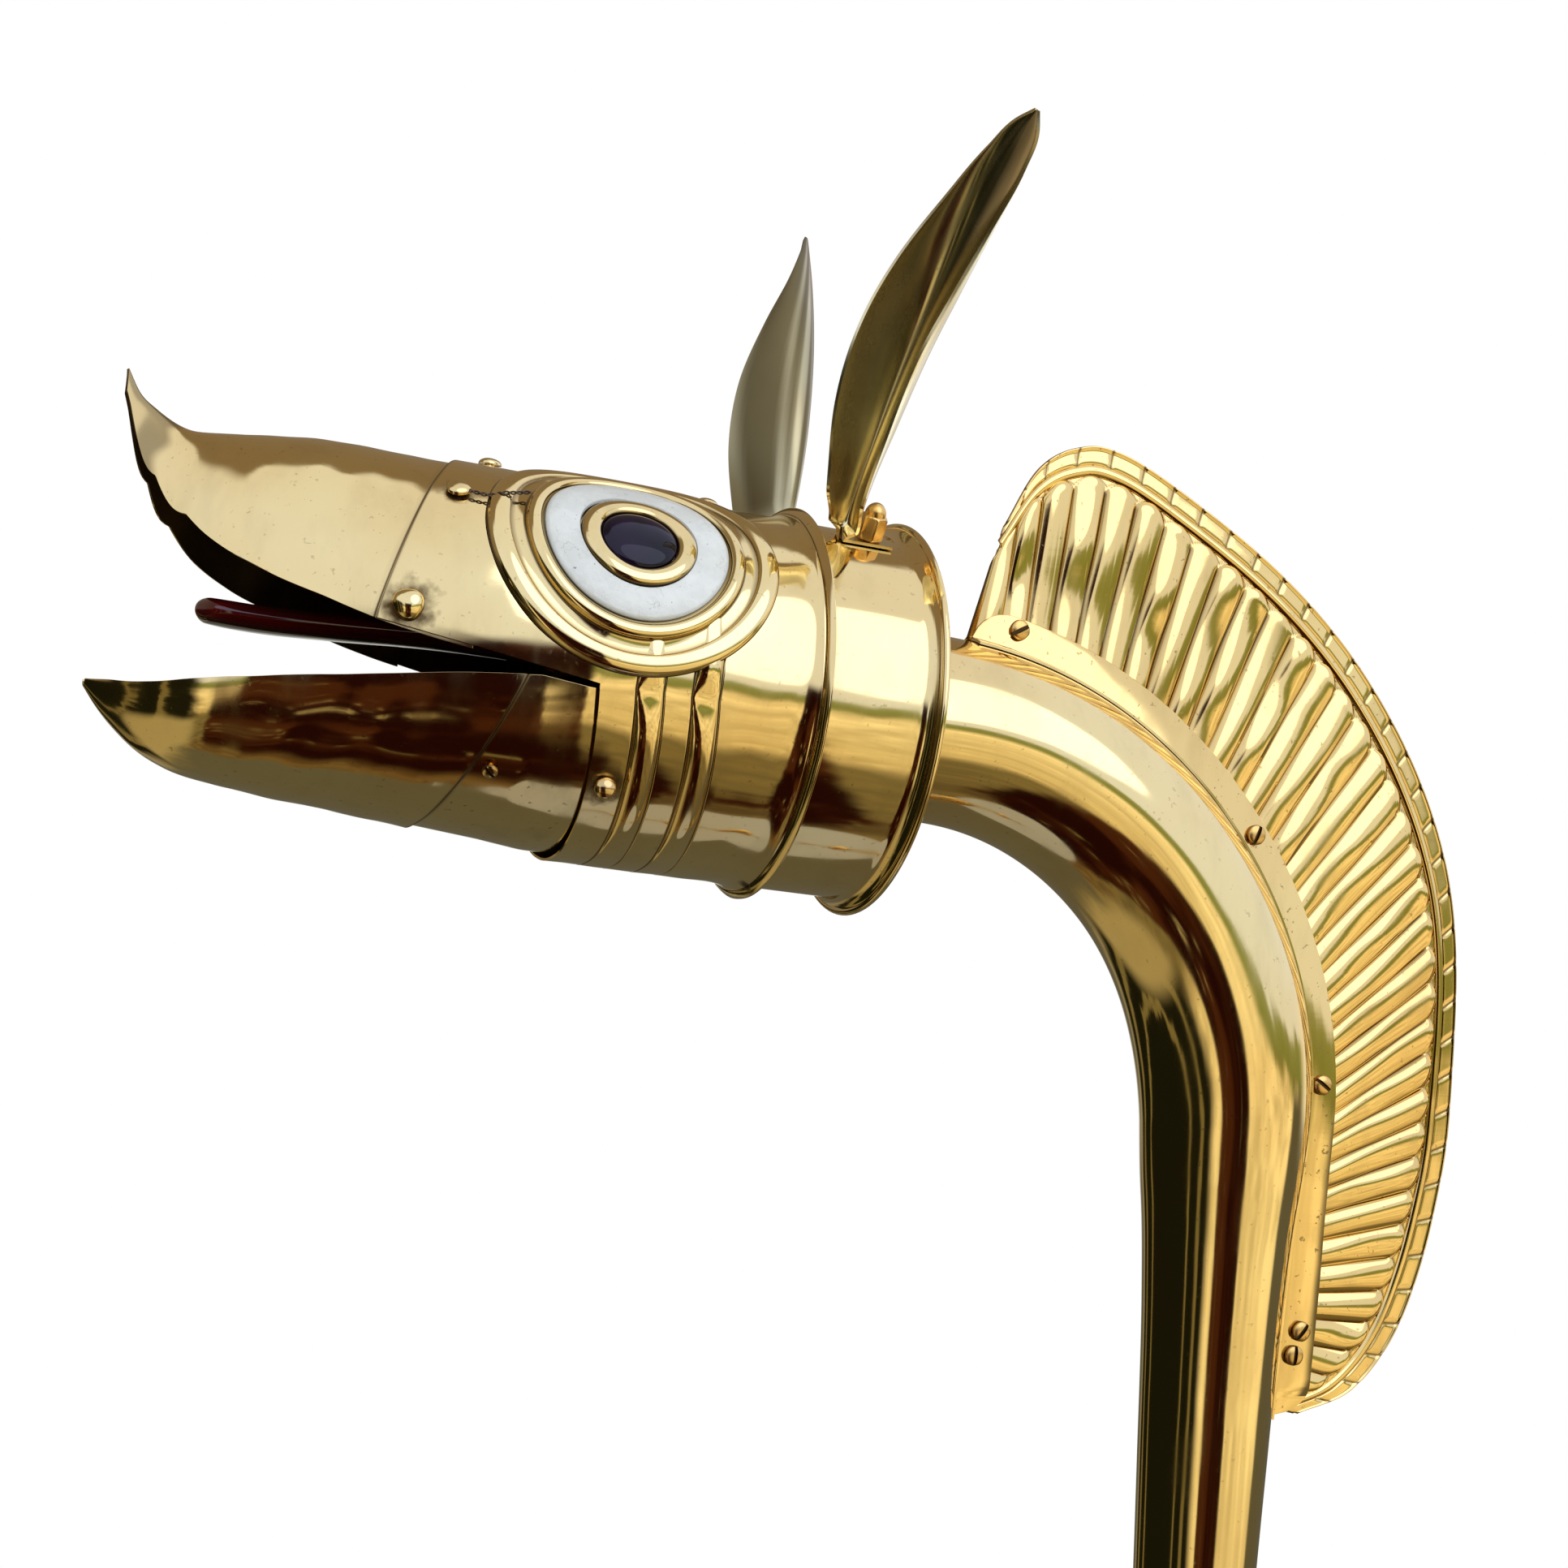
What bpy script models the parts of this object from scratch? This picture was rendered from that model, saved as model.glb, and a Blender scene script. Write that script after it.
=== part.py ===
# Carnyx: an upright brass war horn with an animal's head, ears and a crest.
# Metres, +Z up. The tube stands on the Z axis, the head looks along -X, and
# the left side of the animal is -Y. The origin is where the hands hold the tube.
import math

import bmesh
import bpy
import numpy as np
from mathutils import Matrix, Vector

# Sheet and fits
SHEET = 0.0010
FIT = 0.0003
LAP = SHEET + 0.0006

# Head: stations are measured along X from the rear rim of the collar
HEAD_HEIGHT = 1.000
HEAD_PITCH = math.radians(3.1)
HEAD_RADIUS = 0.075
SNOUT_LENGTH = 0.314
THROAT_FRONT = -0.1375
THROAT_SLANT = 0.007
SHELL_RIM_X = -0.0476
SHELL_RIM_RADIUS = 0.0803
SEAM_LOW = -0.2205
SEAM_SLOPE = 0.037
LIP_FRONT = 3.4
LIP_REAR = -6.5
SNOUT_TAIL = -0.168
BEAD_STATIONS = (-0.118, -0.096)
BEAD_HEIGHT = 0.0022
BEAD_WIDTH = 0.0085

# Collar and back plate
COLLAR_RIM_RADIUS = 0.0816
COLLAR_FLARE = 0.0085
COLLAR_SPIGOT = 0.012
PLATE_SLEEVE = 0.012
PLATE_FACE = 0.0040
PLATE_DISH = 0.0100
PLATE_RIM = 0.0060
PLATE_FIT = 0.0010

# Neck tube
TUBE_WALL = 0.0012
NECK_START = -0.010
BEND_START = 0.027
BEND_RADIUS = 0.160
NECK_DROP = 0.430
# Outer radius along the neck's path from the start of the bend
NECK_RADII = ((-0.037, 0.0395), (0.120, 0.0385), (0.235, 0.0370), (0.262, 0.0350), (0.285, 0.0326),
              (0.315, 0.0305), (0.390, 0.0276), (0.460, 0.0253), (0.545, 0.0226))

# Lower tube sections
MIDDLE_LENGTH = 0.440
MIDDLE_RADIUS_END = 0.0155
LOWER_LENGTH = 0.400
LOWER_RADIUS_END = 0.0085
TENON = 0.030
FERRULE_LENGTH = 0.046
KNOP_HEIGHT = 0.0075
MOUTHPIECE_CUP = 0.0130
MOUTHPIECE_LENGTH = 0.068
MOUTHPIECE_SHANK = 0.024
MOUTHPIECE_BORE = 0.0026

# Jaw
JAW_LENGTH = 0.315
JAW_PIVOT_X = -0.1270
JAW_PIVOT_ANGLE = -38.0
JAW_PLAY = 0.0020
JAW_BAND_RIM = 0.0100
JAW_SEAM_X = -0.1870
JAW_SEAM_SLANT = 0.0230
JAW_SCREW_X = -0.1700
JAW_SCREW_ANGLE = 36.0

# Tongue
TONGUE_PIN_X = -0.112
TONGUE_PIN_Z = 0.0060
TONGUE_PIN_RADIUS = 0.0025
# Each station: along the head, half width, half thickness, height
TONGUE_STATIONS = ((-0.2772, 0.0060, 0.0020, 0.0030), (-0.2752, 0.0110, 0.0036, 0.0028),
                   (-0.2698, 0.0150, 0.0046, 0.0025), (-0.2575, 0.0180, 0.0050, 0.0022),
                   (-0.2250, 0.0190, 0.0050, 0.0035), (-0.1900, 0.0180, 0.0048, 0.0055),
                   (-0.1500, 0.0130, 0.0048, 0.0060), (-0.1180, 0.0100, 0.0055, 0.0060),
                   (-0.1060, 0.0100, 0.0050, 0.0060))

# Eye
EYE_X = -0.1260
EYE_ANGLE = 40.4
EYE_RADIUS = 0.0575
EYE_INNER_RING = 0.0430
EYE_LIFT = 0.0009
EYE_FIT = 0.0005
ENAMEL_RADIUS = 0.0362
BEZEL_RADIUS = 0.0228
STONE_RADIUS = 0.0165

# Ear
EAR_STUD_X = -0.0232
EAR_ANGLE = 64.0
EAR_LENGTH = 0.182
EAR_CURL = math.radians(84.0)
# The way the leaf's hollow faces, from straight ahead, at the root and at the tip
EAR_FACING = (math.radians(73.0), math.radians(28.0))
EAR_SHEET = 0.0012
EAR_LEAN_BACK = 7.5
EAR_LEAN_OUT = 29.7
EAR_BOW = 0.0174
EAR_FOOT_LENGTH = 0.0205
EAR_FOOT_FRONT = 0.0115
EAR_FOOT_WIDTH = 0.0115
STUD_RADIUS = 0.0030
NUT_FLATS = 0.0098
NUT_HEIGHT = 0.0095
NUT_DOME = 0.0055

# Crest
CREST_SHEET = 0.0014
PLEATS = 36
PLEAT_DEPTH = 0.0022
# Web height of the crest's flanges along the neck's path
FLANGE_HEIGHTS = ((0.0, 0.0150), (0.20, 0.0158), (0.26, 0.0170), (0.30, 0.0196), (0.40, 0.0200))
FLANGE_FOOT = 0.0090
FLANGE_SHEET = 0.0012
CREST_SCREW_RADIUS = 0.0020
CREST_SCREW_HEAD = 0.0044

# The collar's rear rim sits so that the neck, once bent, falls down the Z axis
REAR_RIM_X = -(BEND_RADIUS + BEND_START * math.cos(HEAD_PITCH) - BEND_RADIUS * math.sin(HEAD_PITCH))


def clear_scene():
    """Start from an empty file without closing it."""
    for obj in list(bpy.data.objects):
        bpy.data.objects.remove(obj, do_unlink=True)


clear_scene()
PARTS = bpy.data.collections.new("carnyx")
CUTTERS = bpy.data.collections.new("cutters")
bpy.context.scene.collection.children.link(PARTS)
bpy.context.scene.collection.children.link(CUTTERS)


# Materials

def finish(name, colour, roughness, metallic):
    """A Principled material in the piece's own colour."""
    mat = bpy.data.materials.new(name)
    mat.use_nodes = True
    shader = mat.node_tree.nodes["Principled BSDF"]
    shader.inputs["Base Color"].default_value = (*colour, 1.0)
    shader.inputs["Roughness"].default_value = roughness
    shader.inputs["Metallic"].default_value = metallic
    mat.diffuse_color = (*colour, 1.0)
    return mat


BRASS = (0.83, 0.66, 0.30)
GOLD_BRASS = (0.86, 0.62, 0.22)
NUT_BRASS = (0.70, 0.42, 0.12)
ENAMEL = (0.62, 0.72, 0.76)
STONE = (0.02, 0.01, 0.03)
TONGUE_RED = (0.30, 0.01, 0.01)


# Object helpers

def place(name, mesh, colour, roughness=0.2, metallic=1.0, parent=None, matrix=None):
    """Link a mesh as the named piece with its own material."""
    obj = bpy.data.objects.new(name, mesh)
    PARTS.objects.link(obj)
    mesh.materials.append(finish(name + "_finish", colour, roughness, metallic))
    if matrix is not None:
        obj.matrix_world = matrix
    if parent is not None:
        keep_place(obj, parent)
    return obj


def keep_place(obj, parent):
    """Parent an object and leave it where it is."""
    bpy.context.view_layer.update()
    world = obj.matrix_world.copy()
    obj.parent = parent
    obj.matrix_parent_inverse = parent.matrix_world.inverted()
    obj.matrix_world = world


def smooth(mesh, angle=35.0):
    """Shade a round piece smooth, with its true edges sharp."""
    mesh.shade_smooth()
    mesh.set_sharp_from_angle(angle=math.radians(angle))
    return mesh


def axis_empty(name, location, direction, parent=None):
    """An empty on a joint's axis: its Z runs along the axis."""
    empty = bpy.data.objects.new(name, None)
    empty.empty_display_size = 0.02
    PARTS.objects.link(empty)
    turn = Vector((0, 0, 1)).rotation_difference(Vector(direction).normalized())
    empty.matrix_world = Matrix.Translation(location) @ turn.to_matrix().to_4x4()
    if parent is not None:
        keep_place(empty, parent)
    bpy.context.view_layer.update()
    return empty


def make_head_frame():
    """The empty that carries the head: it is tipped up by the pitch when all is on it."""
    frame = bpy.data.objects.new("head_frame", None)
    frame.empty_display_size = 0.05
    frame.location = (REAR_RIM_X, 0.0, HEAD_HEIGHT)
    PARTS.objects.link(frame)
    bpy.context.view_layer.update()
    return frame


HEAD_FRAME = make_head_frame()


def grid_mesh(name, points, close_columns=False):
    """A quad surface through a rows x columns array of points."""
    rows, cols = points.shape[:2]
    verts = points.reshape(-1, 3)
    faces = []
    last = cols if close_columns else cols - 1
    for i in range(rows - 1):
        for j in range(last):
            k = (j + 1) % cols
            faces.append((i * cols + j, i * cols + k, (i + 1) * cols + k, (i + 1) * cols + j))
    mesh = bpy.data.meshes.new(name)
    mesh.from_pydata(verts.tolist(), [], faces)
    mesh.validate()
    return mesh


def shell(obj, thickness, offset=-1.0):
    """Give an open surface its wall."""
    wall = obj.modifiers.new("wall", "SOLIDIFY")
    wall.thickness = thickness
    wall.offset = offset
    wall.use_even_offset = True
    wall.use_quality_normals = True
    return obj


def turned_mesh(name, profile, closed=False):
    """A profile of (radius, height) for the Screw modifier, run down its outer side."""
    verts = [(r, 0.0, z) for r, z in profile]
    edges = [(i, i + 1) for i in range(len(verts) - 1)]
    if closed:
        edges.append((len(verts) - 1, 0))
    mesh = bpy.data.meshes.new(name)
    mesh.from_pydata(verts, edges, [])
    return mesh


def turned(name, profile, matrix, colour, steps=32, closed=False, roughness=0.2, parent=None):
    """A turned piece: the profile spun about the local Z axis."""
    obj = place(name, turned_mesh(name, profile, closed), colour, roughness, 1.0, parent, matrix)
    spin = obj.modifiers.new("turn", "SCREW")
    spin.axis = "Z"
    spin.angle = math.tau
    spin.steps = steps
    spin.render_steps = steps
    spin.use_merge_vertices = True
    spin.merge_threshold = 0.00001
    spin.use_smooth_shade = True
    return obj


def cutter_rod(name, start, end, radius, sides=16, parent=None):
    """A round drill between two points."""
    start = Vector(start)
    end = Vector(end)
    bm = bmesh.new()
    bmesh.ops.create_cone(bm, cap_ends=True, segments=sides, radius1=radius, radius2=radius,
                          depth=(end - start).length)
    mesh = bpy.data.meshes.new(name)
    bm.to_mesh(mesh)
    bm.free()
    rod = bpy.data.objects.new(name, mesh)
    CUTTERS.objects.link(rod)
    turn = Vector((0, 0, 1)).rotation_difference((end - start).normalized())
    rod.matrix_world = Matrix.Translation((start + end) / 2) @ turn.to_matrix().to_4x4()
    rod.hide_render = True
    rod.display_type = "WIRE"
    if parent is not None:
        keep_place(rod, parent)
    return rod


def cut(obj, cutter):
    """Cut one piece with a cutter."""
    hole = obj.modifiers.new("cut_" + cutter.name, "BOOLEAN")
    hole.operation = "DIFFERENCE"
    hole.object = cutter
    hole.solver = "EXACT"
    return hole


def look_along(location, direction, roll_hint=(1, 0, 0)):
    """A matrix at a point whose Z runs along a direction and X near the hint."""
    z = Vector(direction).normalized()
    x = Vector(roll_hint)
    x = (x - z * x.dot(z)).normalized()
    y = z.cross(x)
    rot = Matrix((x, y, z)).transposed().to_4x4()
    return Matrix.Translation(location) @ rot


# Head shape

def smooth_line(x, stations):
    """A smooth curve through (x, value) stations, monotone between them."""
    xs = np.array([s[0] for s in stations], float)
    ys = np.array([s[1] for s in stations], float)
    slope = np.gradient(ys, xs)
    x = np.clip(x, xs[0], xs[-1])
    i = np.clip(np.searchsorted(xs, x) - 1, 0, len(xs) - 2)
    h = xs[i + 1] - xs[i]
    t = (x - xs[i]) / h
    a = 2 * t**3 - 3 * t**2 + 1
    b = t**3 - 2 * t**2 + t
    c = -2 * t**3 + 3 * t**2
    d = t**3 - t**2
    return a * ys[i] + b * h * slope[i] + c * ys[i + 1] + d * h * slope[i + 1]


# The head's half width, crown height and lip angle, from the snout's tip to the throat
WIDTH_STATIONS = ((-SNOUT_LENGTH, 0.0105), (-0.307, 0.0130), (-0.300, 0.0190), (-0.288, 0.0305),
                  (-0.270, 0.0440), (-0.245, 0.0525), (-0.215, 0.0598), (-0.180, 0.0690),
                  (THROAT_FRONT, HEAD_RADIUS))
CROWN_STATIONS = ((-SNOUT_LENGTH, 0.0900), (-0.309, 0.0822), (-0.302, 0.0765), (-0.290, 0.0712),
                  (-0.270, 0.0727), (-0.243, 0.0757), (-0.190, 0.0754), (THROAT_FRONT, HEAD_RADIUS))
LIP_STATIONS = ((-SNOUT_LENGTH, 64.0), (-0.309, 55.0), (-0.303, 44.0), (-0.294, 35.0), (-0.280, 22.0),
                (-0.262, 13.3), (-0.240, 7.6), (SEAM_LOW, LIP_FRONT), (THROAT_FRONT, LIP_REAR))


def head_point(x, angle, offset=0.0):
    """A point on the head's skin; angle 0 is the left side and 90 the crown."""
    a = np.radians(angle)
    width = smooth_line(x, WIDTH_STATIONS) + offset
    crown = smooth_line(x, CROWN_STATIONS) + offset
    floor = HEAD_RADIUS + offset
    up = np.where(np.sin(a) >= 0, crown, floor)
    y = -width * np.cos(a)
    z = up * np.sin(a)
    return np.stack([REAR_RIM_X + x + 0 * a, y + 0 * x, HEAD_HEIGHT + z + 0 * x], axis=-1)


def seam_x(angle):
    """The lap seam between the head and the snout, slanting back to the crown."""
    a = np.where(angle > 90, 180 - angle, angle)
    s = np.clip((a - LIP_FRONT) / (90 - LIP_FRONT), 0, 1)
    return SEAM_LOW + SEAM_SLOPE * s**1.2


def make_head_shell():
    """The head and throat in one sheet: open mouth, two beads and a flared rear rim."""
    across = 16
    under = 12
    v = np.linspace(0, 1, across + 1)
    rows = []
    for u in np.linspace(0, 1, 4):
        lip = LIP_FRONT + (LIP_REAR - LIP_FRONT) * u
        angle = lip + v * (180 - 2 * lip)
        x = seam_x(angle) * (1 - u) + THROAT_FRONT * u
        rows.append(head_point(x, angle))
    upper = np.array(rows[:-1])
    full_angle = np.concatenate([LIP_REAR + v * (180 - 2 * LIP_REAR),
                                 180 - LIP_REAR + np.linspace(0, 1, under + 1)[1:-1] * (180 + 2 * LIP_REAR)])
    below = np.clip(-np.sin(np.radians(full_angle)) - math.sin(math.radians(-LIP_REAR)), 0, None)
    slant = THROAT_SLANT * np.clip(below * 1.2, 0, 1)
    keel = np.clip(below / (1 - math.sin(math.radians(-LIP_REAR))), 0, 1)
    bead_on = np.clip(below * 5.0, 0, 1) * np.clip((0.97 - keel) * 5.0, 0, 1)
    stations = [THROAT_FRONT]
    for bead in BEAD_STATIONS:
        half = BEAD_WIDTH / 2
        stations += [bead - half, bead, bead + half]
    stations += [-0.064, -0.0545, SHELL_RIM_X]
    full = []
    for x in stations:
        rise = 0.0
        for bead in BEAD_STATIONS:
            d = abs(x - bead) / (BEAD_WIDTH / 2)
            if d < 1:
                rise = BEAD_HEIGHT * math.sqrt(1 - d * d)
        flare = max(0.0, (x + 0.064) / (SHELL_RIM_X + 0.064))
        radius = HEAD_RADIUS + (SHELL_RIM_RADIUS - HEAD_RADIUS) * flare**2.2 + rise * bead_on
        fade = np.clip((-0.070 - x) / 0.02, 0, 1)
        a = np.radians(full_angle)
        px = REAR_RIM_X + x + slant * fade
        full.append(np.stack([px, -radius * np.cos(a), HEAD_HEIGHT + radius * np.sin(a)], axis=-1))
    full = np.array(full)
    count_upper = upper.shape[0] * (across + 1)
    verts = np.concatenate([upper.reshape(-1, 3), full.reshape(-1, 3)])
    ring = full.shape[1]
    faces = []
    for i in range(upper.shape[0]):
        for j in range(across):
            a = i * (across + 1) + j
            if i + 1 < upper.shape[0]:
                b = a + across + 1
                faces.append((a, a + 1, b + 1, b))
            else:
                b = count_upper + j
                faces.append((a, a + 1, b + 1, b))
    for i in range(full.shape[0] - 1):
        for j in range(ring):
            a = count_upper + i * ring + j
            b = count_upper + i * ring + (j + 1) % ring
            faces.append((a, b, b + ring, a + ring))
    mesh = bpy.data.meshes.new("head_shell")
    mesh.from_pydata(verts.tolist(), [], faces)
    smooth(mesh)
    return shell(place("head_shell", mesh, BRASS, parent=HEAD_FRAME), SHEET, 1.0)


def make_snout():
    """The upper jaw's sheet, lapped under the head shell and drawn up to a horn tip."""
    stations = np.concatenate([[-SNOUT_LENGTH, -0.3120], np.linspace(-0.309, -0.292, 7),
                               [-0.284, -0.272, -0.256, -0.236, -0.205, SNOUT_TAIL]])
    v = np.linspace(0, 1, 13)
    rows = []
    for x in stations:
        lip = float(smooth_line(x, LIP_STATIONS))
        if -0.312 < x < -0.289:
            lip -= 3.5 * abs(math.sin(math.pi * (x + 0.312) / 0.0115))
        angle = lip + v * (180 - 2 * lip)
        rows.append(head_point(x, angle, -LAP))
    mesh = smooth(grid_mesh("snout", np.array(rows)))
    return shell(place("snout", mesh, BRASS, parent=HEAD_FRAME), SHEET, 1.0)


# Lower jaw

JAW_WIDTH = ((-JAW_LENGTH, 0.0040), (-0.309, 0.0130), (-0.298, 0.0235), (-0.282, 0.0345),
             (-0.255, 0.0455), (-0.220, 0.0560), (-0.188, 0.0650), (-0.158, 0.0708))
JAW_RIM = ((-JAW_LENGTH, -0.0300), (-0.298, -0.0292), (-0.280, -0.0260), (-0.250, -0.0208),
           (-0.215, -0.0155), (-0.188, -0.0113), (-0.158, -0.0080))
JAW_KEEL = ((-JAW_LENGTH, -0.0325), (-0.310, -0.0385), (-0.298, -0.0500), (-0.282, -0.0588),
            (-0.262, -0.0625), (-0.220, -0.0663), (-0.188, -0.0692), (-0.158, -0.0716))


def jaw_point(x, angle, offset=0.0):
    """A point on the jaw's trough; angle 0 is the left rim and 90 the keel."""
    a = np.radians(angle)
    width = smooth_line(x, JAW_WIDTH) + offset
    rim = smooth_line(x, JAW_RIM)
    depth = rim - smooth_line(x, JAW_KEEL) + offset
    return np.stack([REAR_RIM_X + x + 0 * a, -width * np.cos(a) + 0 * x,
                     HEAD_HEIGHT + rim - depth * np.sin(a)], axis=-1)


def jaw_pivot(side):
    """The hinge screw's place on the throat; side -1 is the left."""
    a = math.radians(JAW_PIVOT_ANGLE)
    return Vector((REAR_RIM_X + JAW_PIVOT_X, side * HEAD_RADIUS * math.cos(a),
                   HEAD_HEIGHT + HEAD_RADIUS * math.sin(a)))


def make_jaw(empty):
    """The jaw's front trough and its rear half band, lapped and hinged in the throat."""
    v = np.linspace(0, 180, 13)
    rows = []
    for x in (-JAW_LENGTH, -0.3125, -0.3075, -0.300, -0.288, -0.270, -0.245, -0.218, JAW_SEAM_X):
        slant = JAW_SEAM_SLANT * (1 - np.sin(np.radians(v))) * max(0.0, (x + 0.245) / (JAW_SEAM_X + 0.245))
        rows.append(jaw_point(x + slant, v))
    mesh = smooth(grid_mesh("jaw_front", np.array(rows)))
    front = shell(place("jaw_front", mesh, BRASS, parent=empty), SHEET, -1.0)

    rear_radius = HEAD_RADIUS - SHEET - JAW_PLAY
    keel_end = THROAT_FRONT + THROAT_SLANT + 0.0040
    cheek_end = JAW_PIVOT_X + 0.0100
    rows = []
    for t in np.linspace(0, 1, 6):
        side = np.clip(1.6 - 2.2 * np.sin(np.radians(v)), 0, 1)
        front_x = JAW_SEAM_X - 0.010 + JAW_SEAM_SLANT * (1 - np.sin(np.radians(v)))
        rear_x = keel_end + (cheek_end - keel_end) * side
        x = front_x * (1 - t) + rear_x * t
        blend = np.clip((x + 0.158) / 0.018, 0, 1)[:, None]
        ahead = jaw_point(np.minimum(x, -0.158), v, -LAP)
        ahead[:, 0] = REAR_RIM_X + x
        round_start = math.degrees(math.asin(JAW_BAND_RIM / rear_radius))
        turn = np.radians(round_start + v * (1 - round_start / 90))
        band = np.stack([REAR_RIM_X + x, -rear_radius * np.cos(turn),
                         HEAD_HEIGHT - rear_radius * np.sin(turn)], axis=-1)
        rows.append(ahead * (1 - blend) + band * blend)
    mesh = smooth(grid_mesh("jaw_rear", np.array(rows)))
    rear = shell(place("jaw_rear", mesh, BRASS, parent=empty), SHEET, -1.0)
    return front, rear


def lathe_along_x(x):
    """A matrix whose Z runs forward along the head's axis, from a station."""
    return look_along((REAR_RIM_X + x, 0, HEAD_HEIGHT), (1, 0, 0), (0, 1, 0))


# Collar, back plate and tubes

def make_collar():
    """The collar: a spigot inside the head shell, a plain band and a flared rear rim."""
    outer = HEAD_RADIUS
    spigot = HEAD_RADIUS - LAP
    front = SHELL_RIM_X - COLLAR_SPIGOT
    step = SHELL_RIM_X + 0.0006
    flare = -COLLAR_FLARE
    lip = COLLAR_RIM_RADIUS
    profile = [(lip - SHEET, 0.0), (lip, 0.0), (lip - 0.0013, -0.0022), (outer + 0.0009, flare * 0.55),
               (outer, flare), (outer, step), (spigot, step - 0.0012), (spigot, front),
               (spigot - SHEET, front), (spigot - SHEET, step - 0.0010), (outer - SHEET, step + 0.0004),
               (outer - SHEET, flare), (outer + 0.0009 - SHEET, flare * 0.55), (lip - 0.0013 - SHEET, -0.0022)]
    return turned("neck_collar", profile, lathe_along_x(0.0), BRASS, 24, closed=True, parent=HEAD_FRAME)


def make_back_plate():
    """The dished plate that closes the collar behind the head, with a sleeve round the neck."""
    rim = HEAD_RADIUS - SHEET - PLATE_FIT
    neck = NECK_RADII[0][1] + FIT
    edge = -PLATE_DISH - PLATE_RIM
    profile = [(neck + SHEET, PLATE_FACE + PLATE_SLEEVE), (neck + SHEET, PLATE_FACE + SHEET * 1.2),
               (rim, -PLATE_DISH), (rim, edge), (rim - SHEET, edge), (rim - SHEET, -PLATE_DISH - SHEET * 0.8),
               (neck, PLATE_FACE + SHEET * 0.2), (neck, PLATE_FACE + PLATE_SLEEVE)]
    return turned("back_plate", profile, lathe_along_x(0.0), BRASS, 20, closed=True, parent=HEAD_FRAME)


BEND_END = BEND_RADIUS * (math.pi / 2 - HEAD_PITCH)
BEND_CENTRE_Z = HEAD_HEIGHT - BEND_START * math.sin(HEAD_PITCH) - BEND_RADIUS * math.cos(HEAD_PITCH)
NECK_END_Z = HEAD_HEIGHT - NECK_DROP
NECK_LENGTH = BEND_END + BEND_CENTRE_Z - NECK_END_Z
NECK_TAIL = 0.070
NECK_PATH = (*np.linspace(0, BEND_END, 11), BEND_END + 0.0193, BEND_END + 0.0423, BEND_END + 0.0723,
             BEND_END + 0.1473, NECK_LENGTH - NECK_TAIL, NECK_LENGTH)


def neck_frame(s):
    """Centre and outward direction at a path length from the start of the bend."""
    s = np.asarray(s, float)
    turn = HEAD_PITCH + np.clip(s, 0, BEND_END) / BEND_RADIUS
    before = np.minimum(s, 0)
    after = np.maximum(s - BEND_END, 0)
    x = -BEND_RADIUS + BEND_RADIUS * np.sin(turn) + before * math.cos(HEAD_PITCH)
    z = BEND_CENTRE_Z + BEND_RADIUS * np.cos(turn) - before * math.sin(HEAD_PITCH) - after
    centre = np.stack([x, 0 * x, z], axis=-1)
    out = np.stack([np.sin(turn), 0 * x, np.cos(turn)], axis=-1)
    return centre, out


def neck_radius(s):
    """The neck's outer radius along its path: a slow taper, then a faster one below the bend."""
    return smooth_line(s, NECK_RADII)


def neck_surface(s, turn, offset=0.0):
    """A point on the neck; turn 0 is its outer back line."""
    centre, out = neck_frame(s)
    radius = neck_radius(s) + offset
    side = np.array([0.0, 1.0, 0.0])
    return (centre + (radius * np.cos(turn))[..., None] * out
            + (radius * np.sin(turn))[..., None] * side)


def make_neck():
    """The neck: a conical tube bent through a right angle, in three sections soldered end to end."""
    half = NECK_PATH[5]
    sections = (("neck_front", [NECK_START - BEND_START, *[s for s in NECK_PATH if s < half], half - FIT]),
                ("neck_bend", [s for s in NECK_PATH if half <= s <= BEND_END]),
                ("neck_tube", [BEND_END + FIT, *[s for s in NECK_PATH if s > BEND_END + FIT]]))
    turn = np.linspace(0, math.tau, 21)[:-1]
    for name, stations in sections:
        path = np.array(stations)
        points = neck_surface(path[:, None] + 0 * turn[None, :], turn[None, :] + 0 * path[:, None])
        mesh = smooth(grid_mesh(name, points, close_columns=True))
        shell(place(name, mesh, BRASS), TUBE_WALL, 1.0)


NECK_RADIUS_END = float(neck_radius(np.array(NECK_LENGTH)))
NECK_SLOPE = (float(neck_radius(np.array(NECK_LENGTH - NECK_TAIL))) - NECK_RADIUS_END) / NECK_TAIL
MIDDLE_RADIUS_TOP = NECK_RADIUS_END - TUBE_WALL - FIT
MIDDLE_END_Z = NECK_END_Z - MIDDLE_LENGTH
LOWER_RADIUS_TOP = MIDDLE_RADIUS_END - TUBE_WALL - FIT
LOWER_END_Z = MIDDLE_END_Z - LOWER_LENGTH


def tube_section(name, top_radius, end_radius, top_z, end_z):
    """A straight conical tube whose top tenon stands inside the section above."""
    tenon_top = top_z + TENON
    profile = [(top_radius, tenon_top), (top_radius, top_z), (end_radius, end_z),
               (end_radius - TUBE_WALL, end_z), (top_radius - TUBE_WALL, top_z),
               (top_radius - TUBE_WALL, tenon_top)]
    return turned(name, profile, Matrix.Identity(4), BRASS, 20, closed=True)


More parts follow.
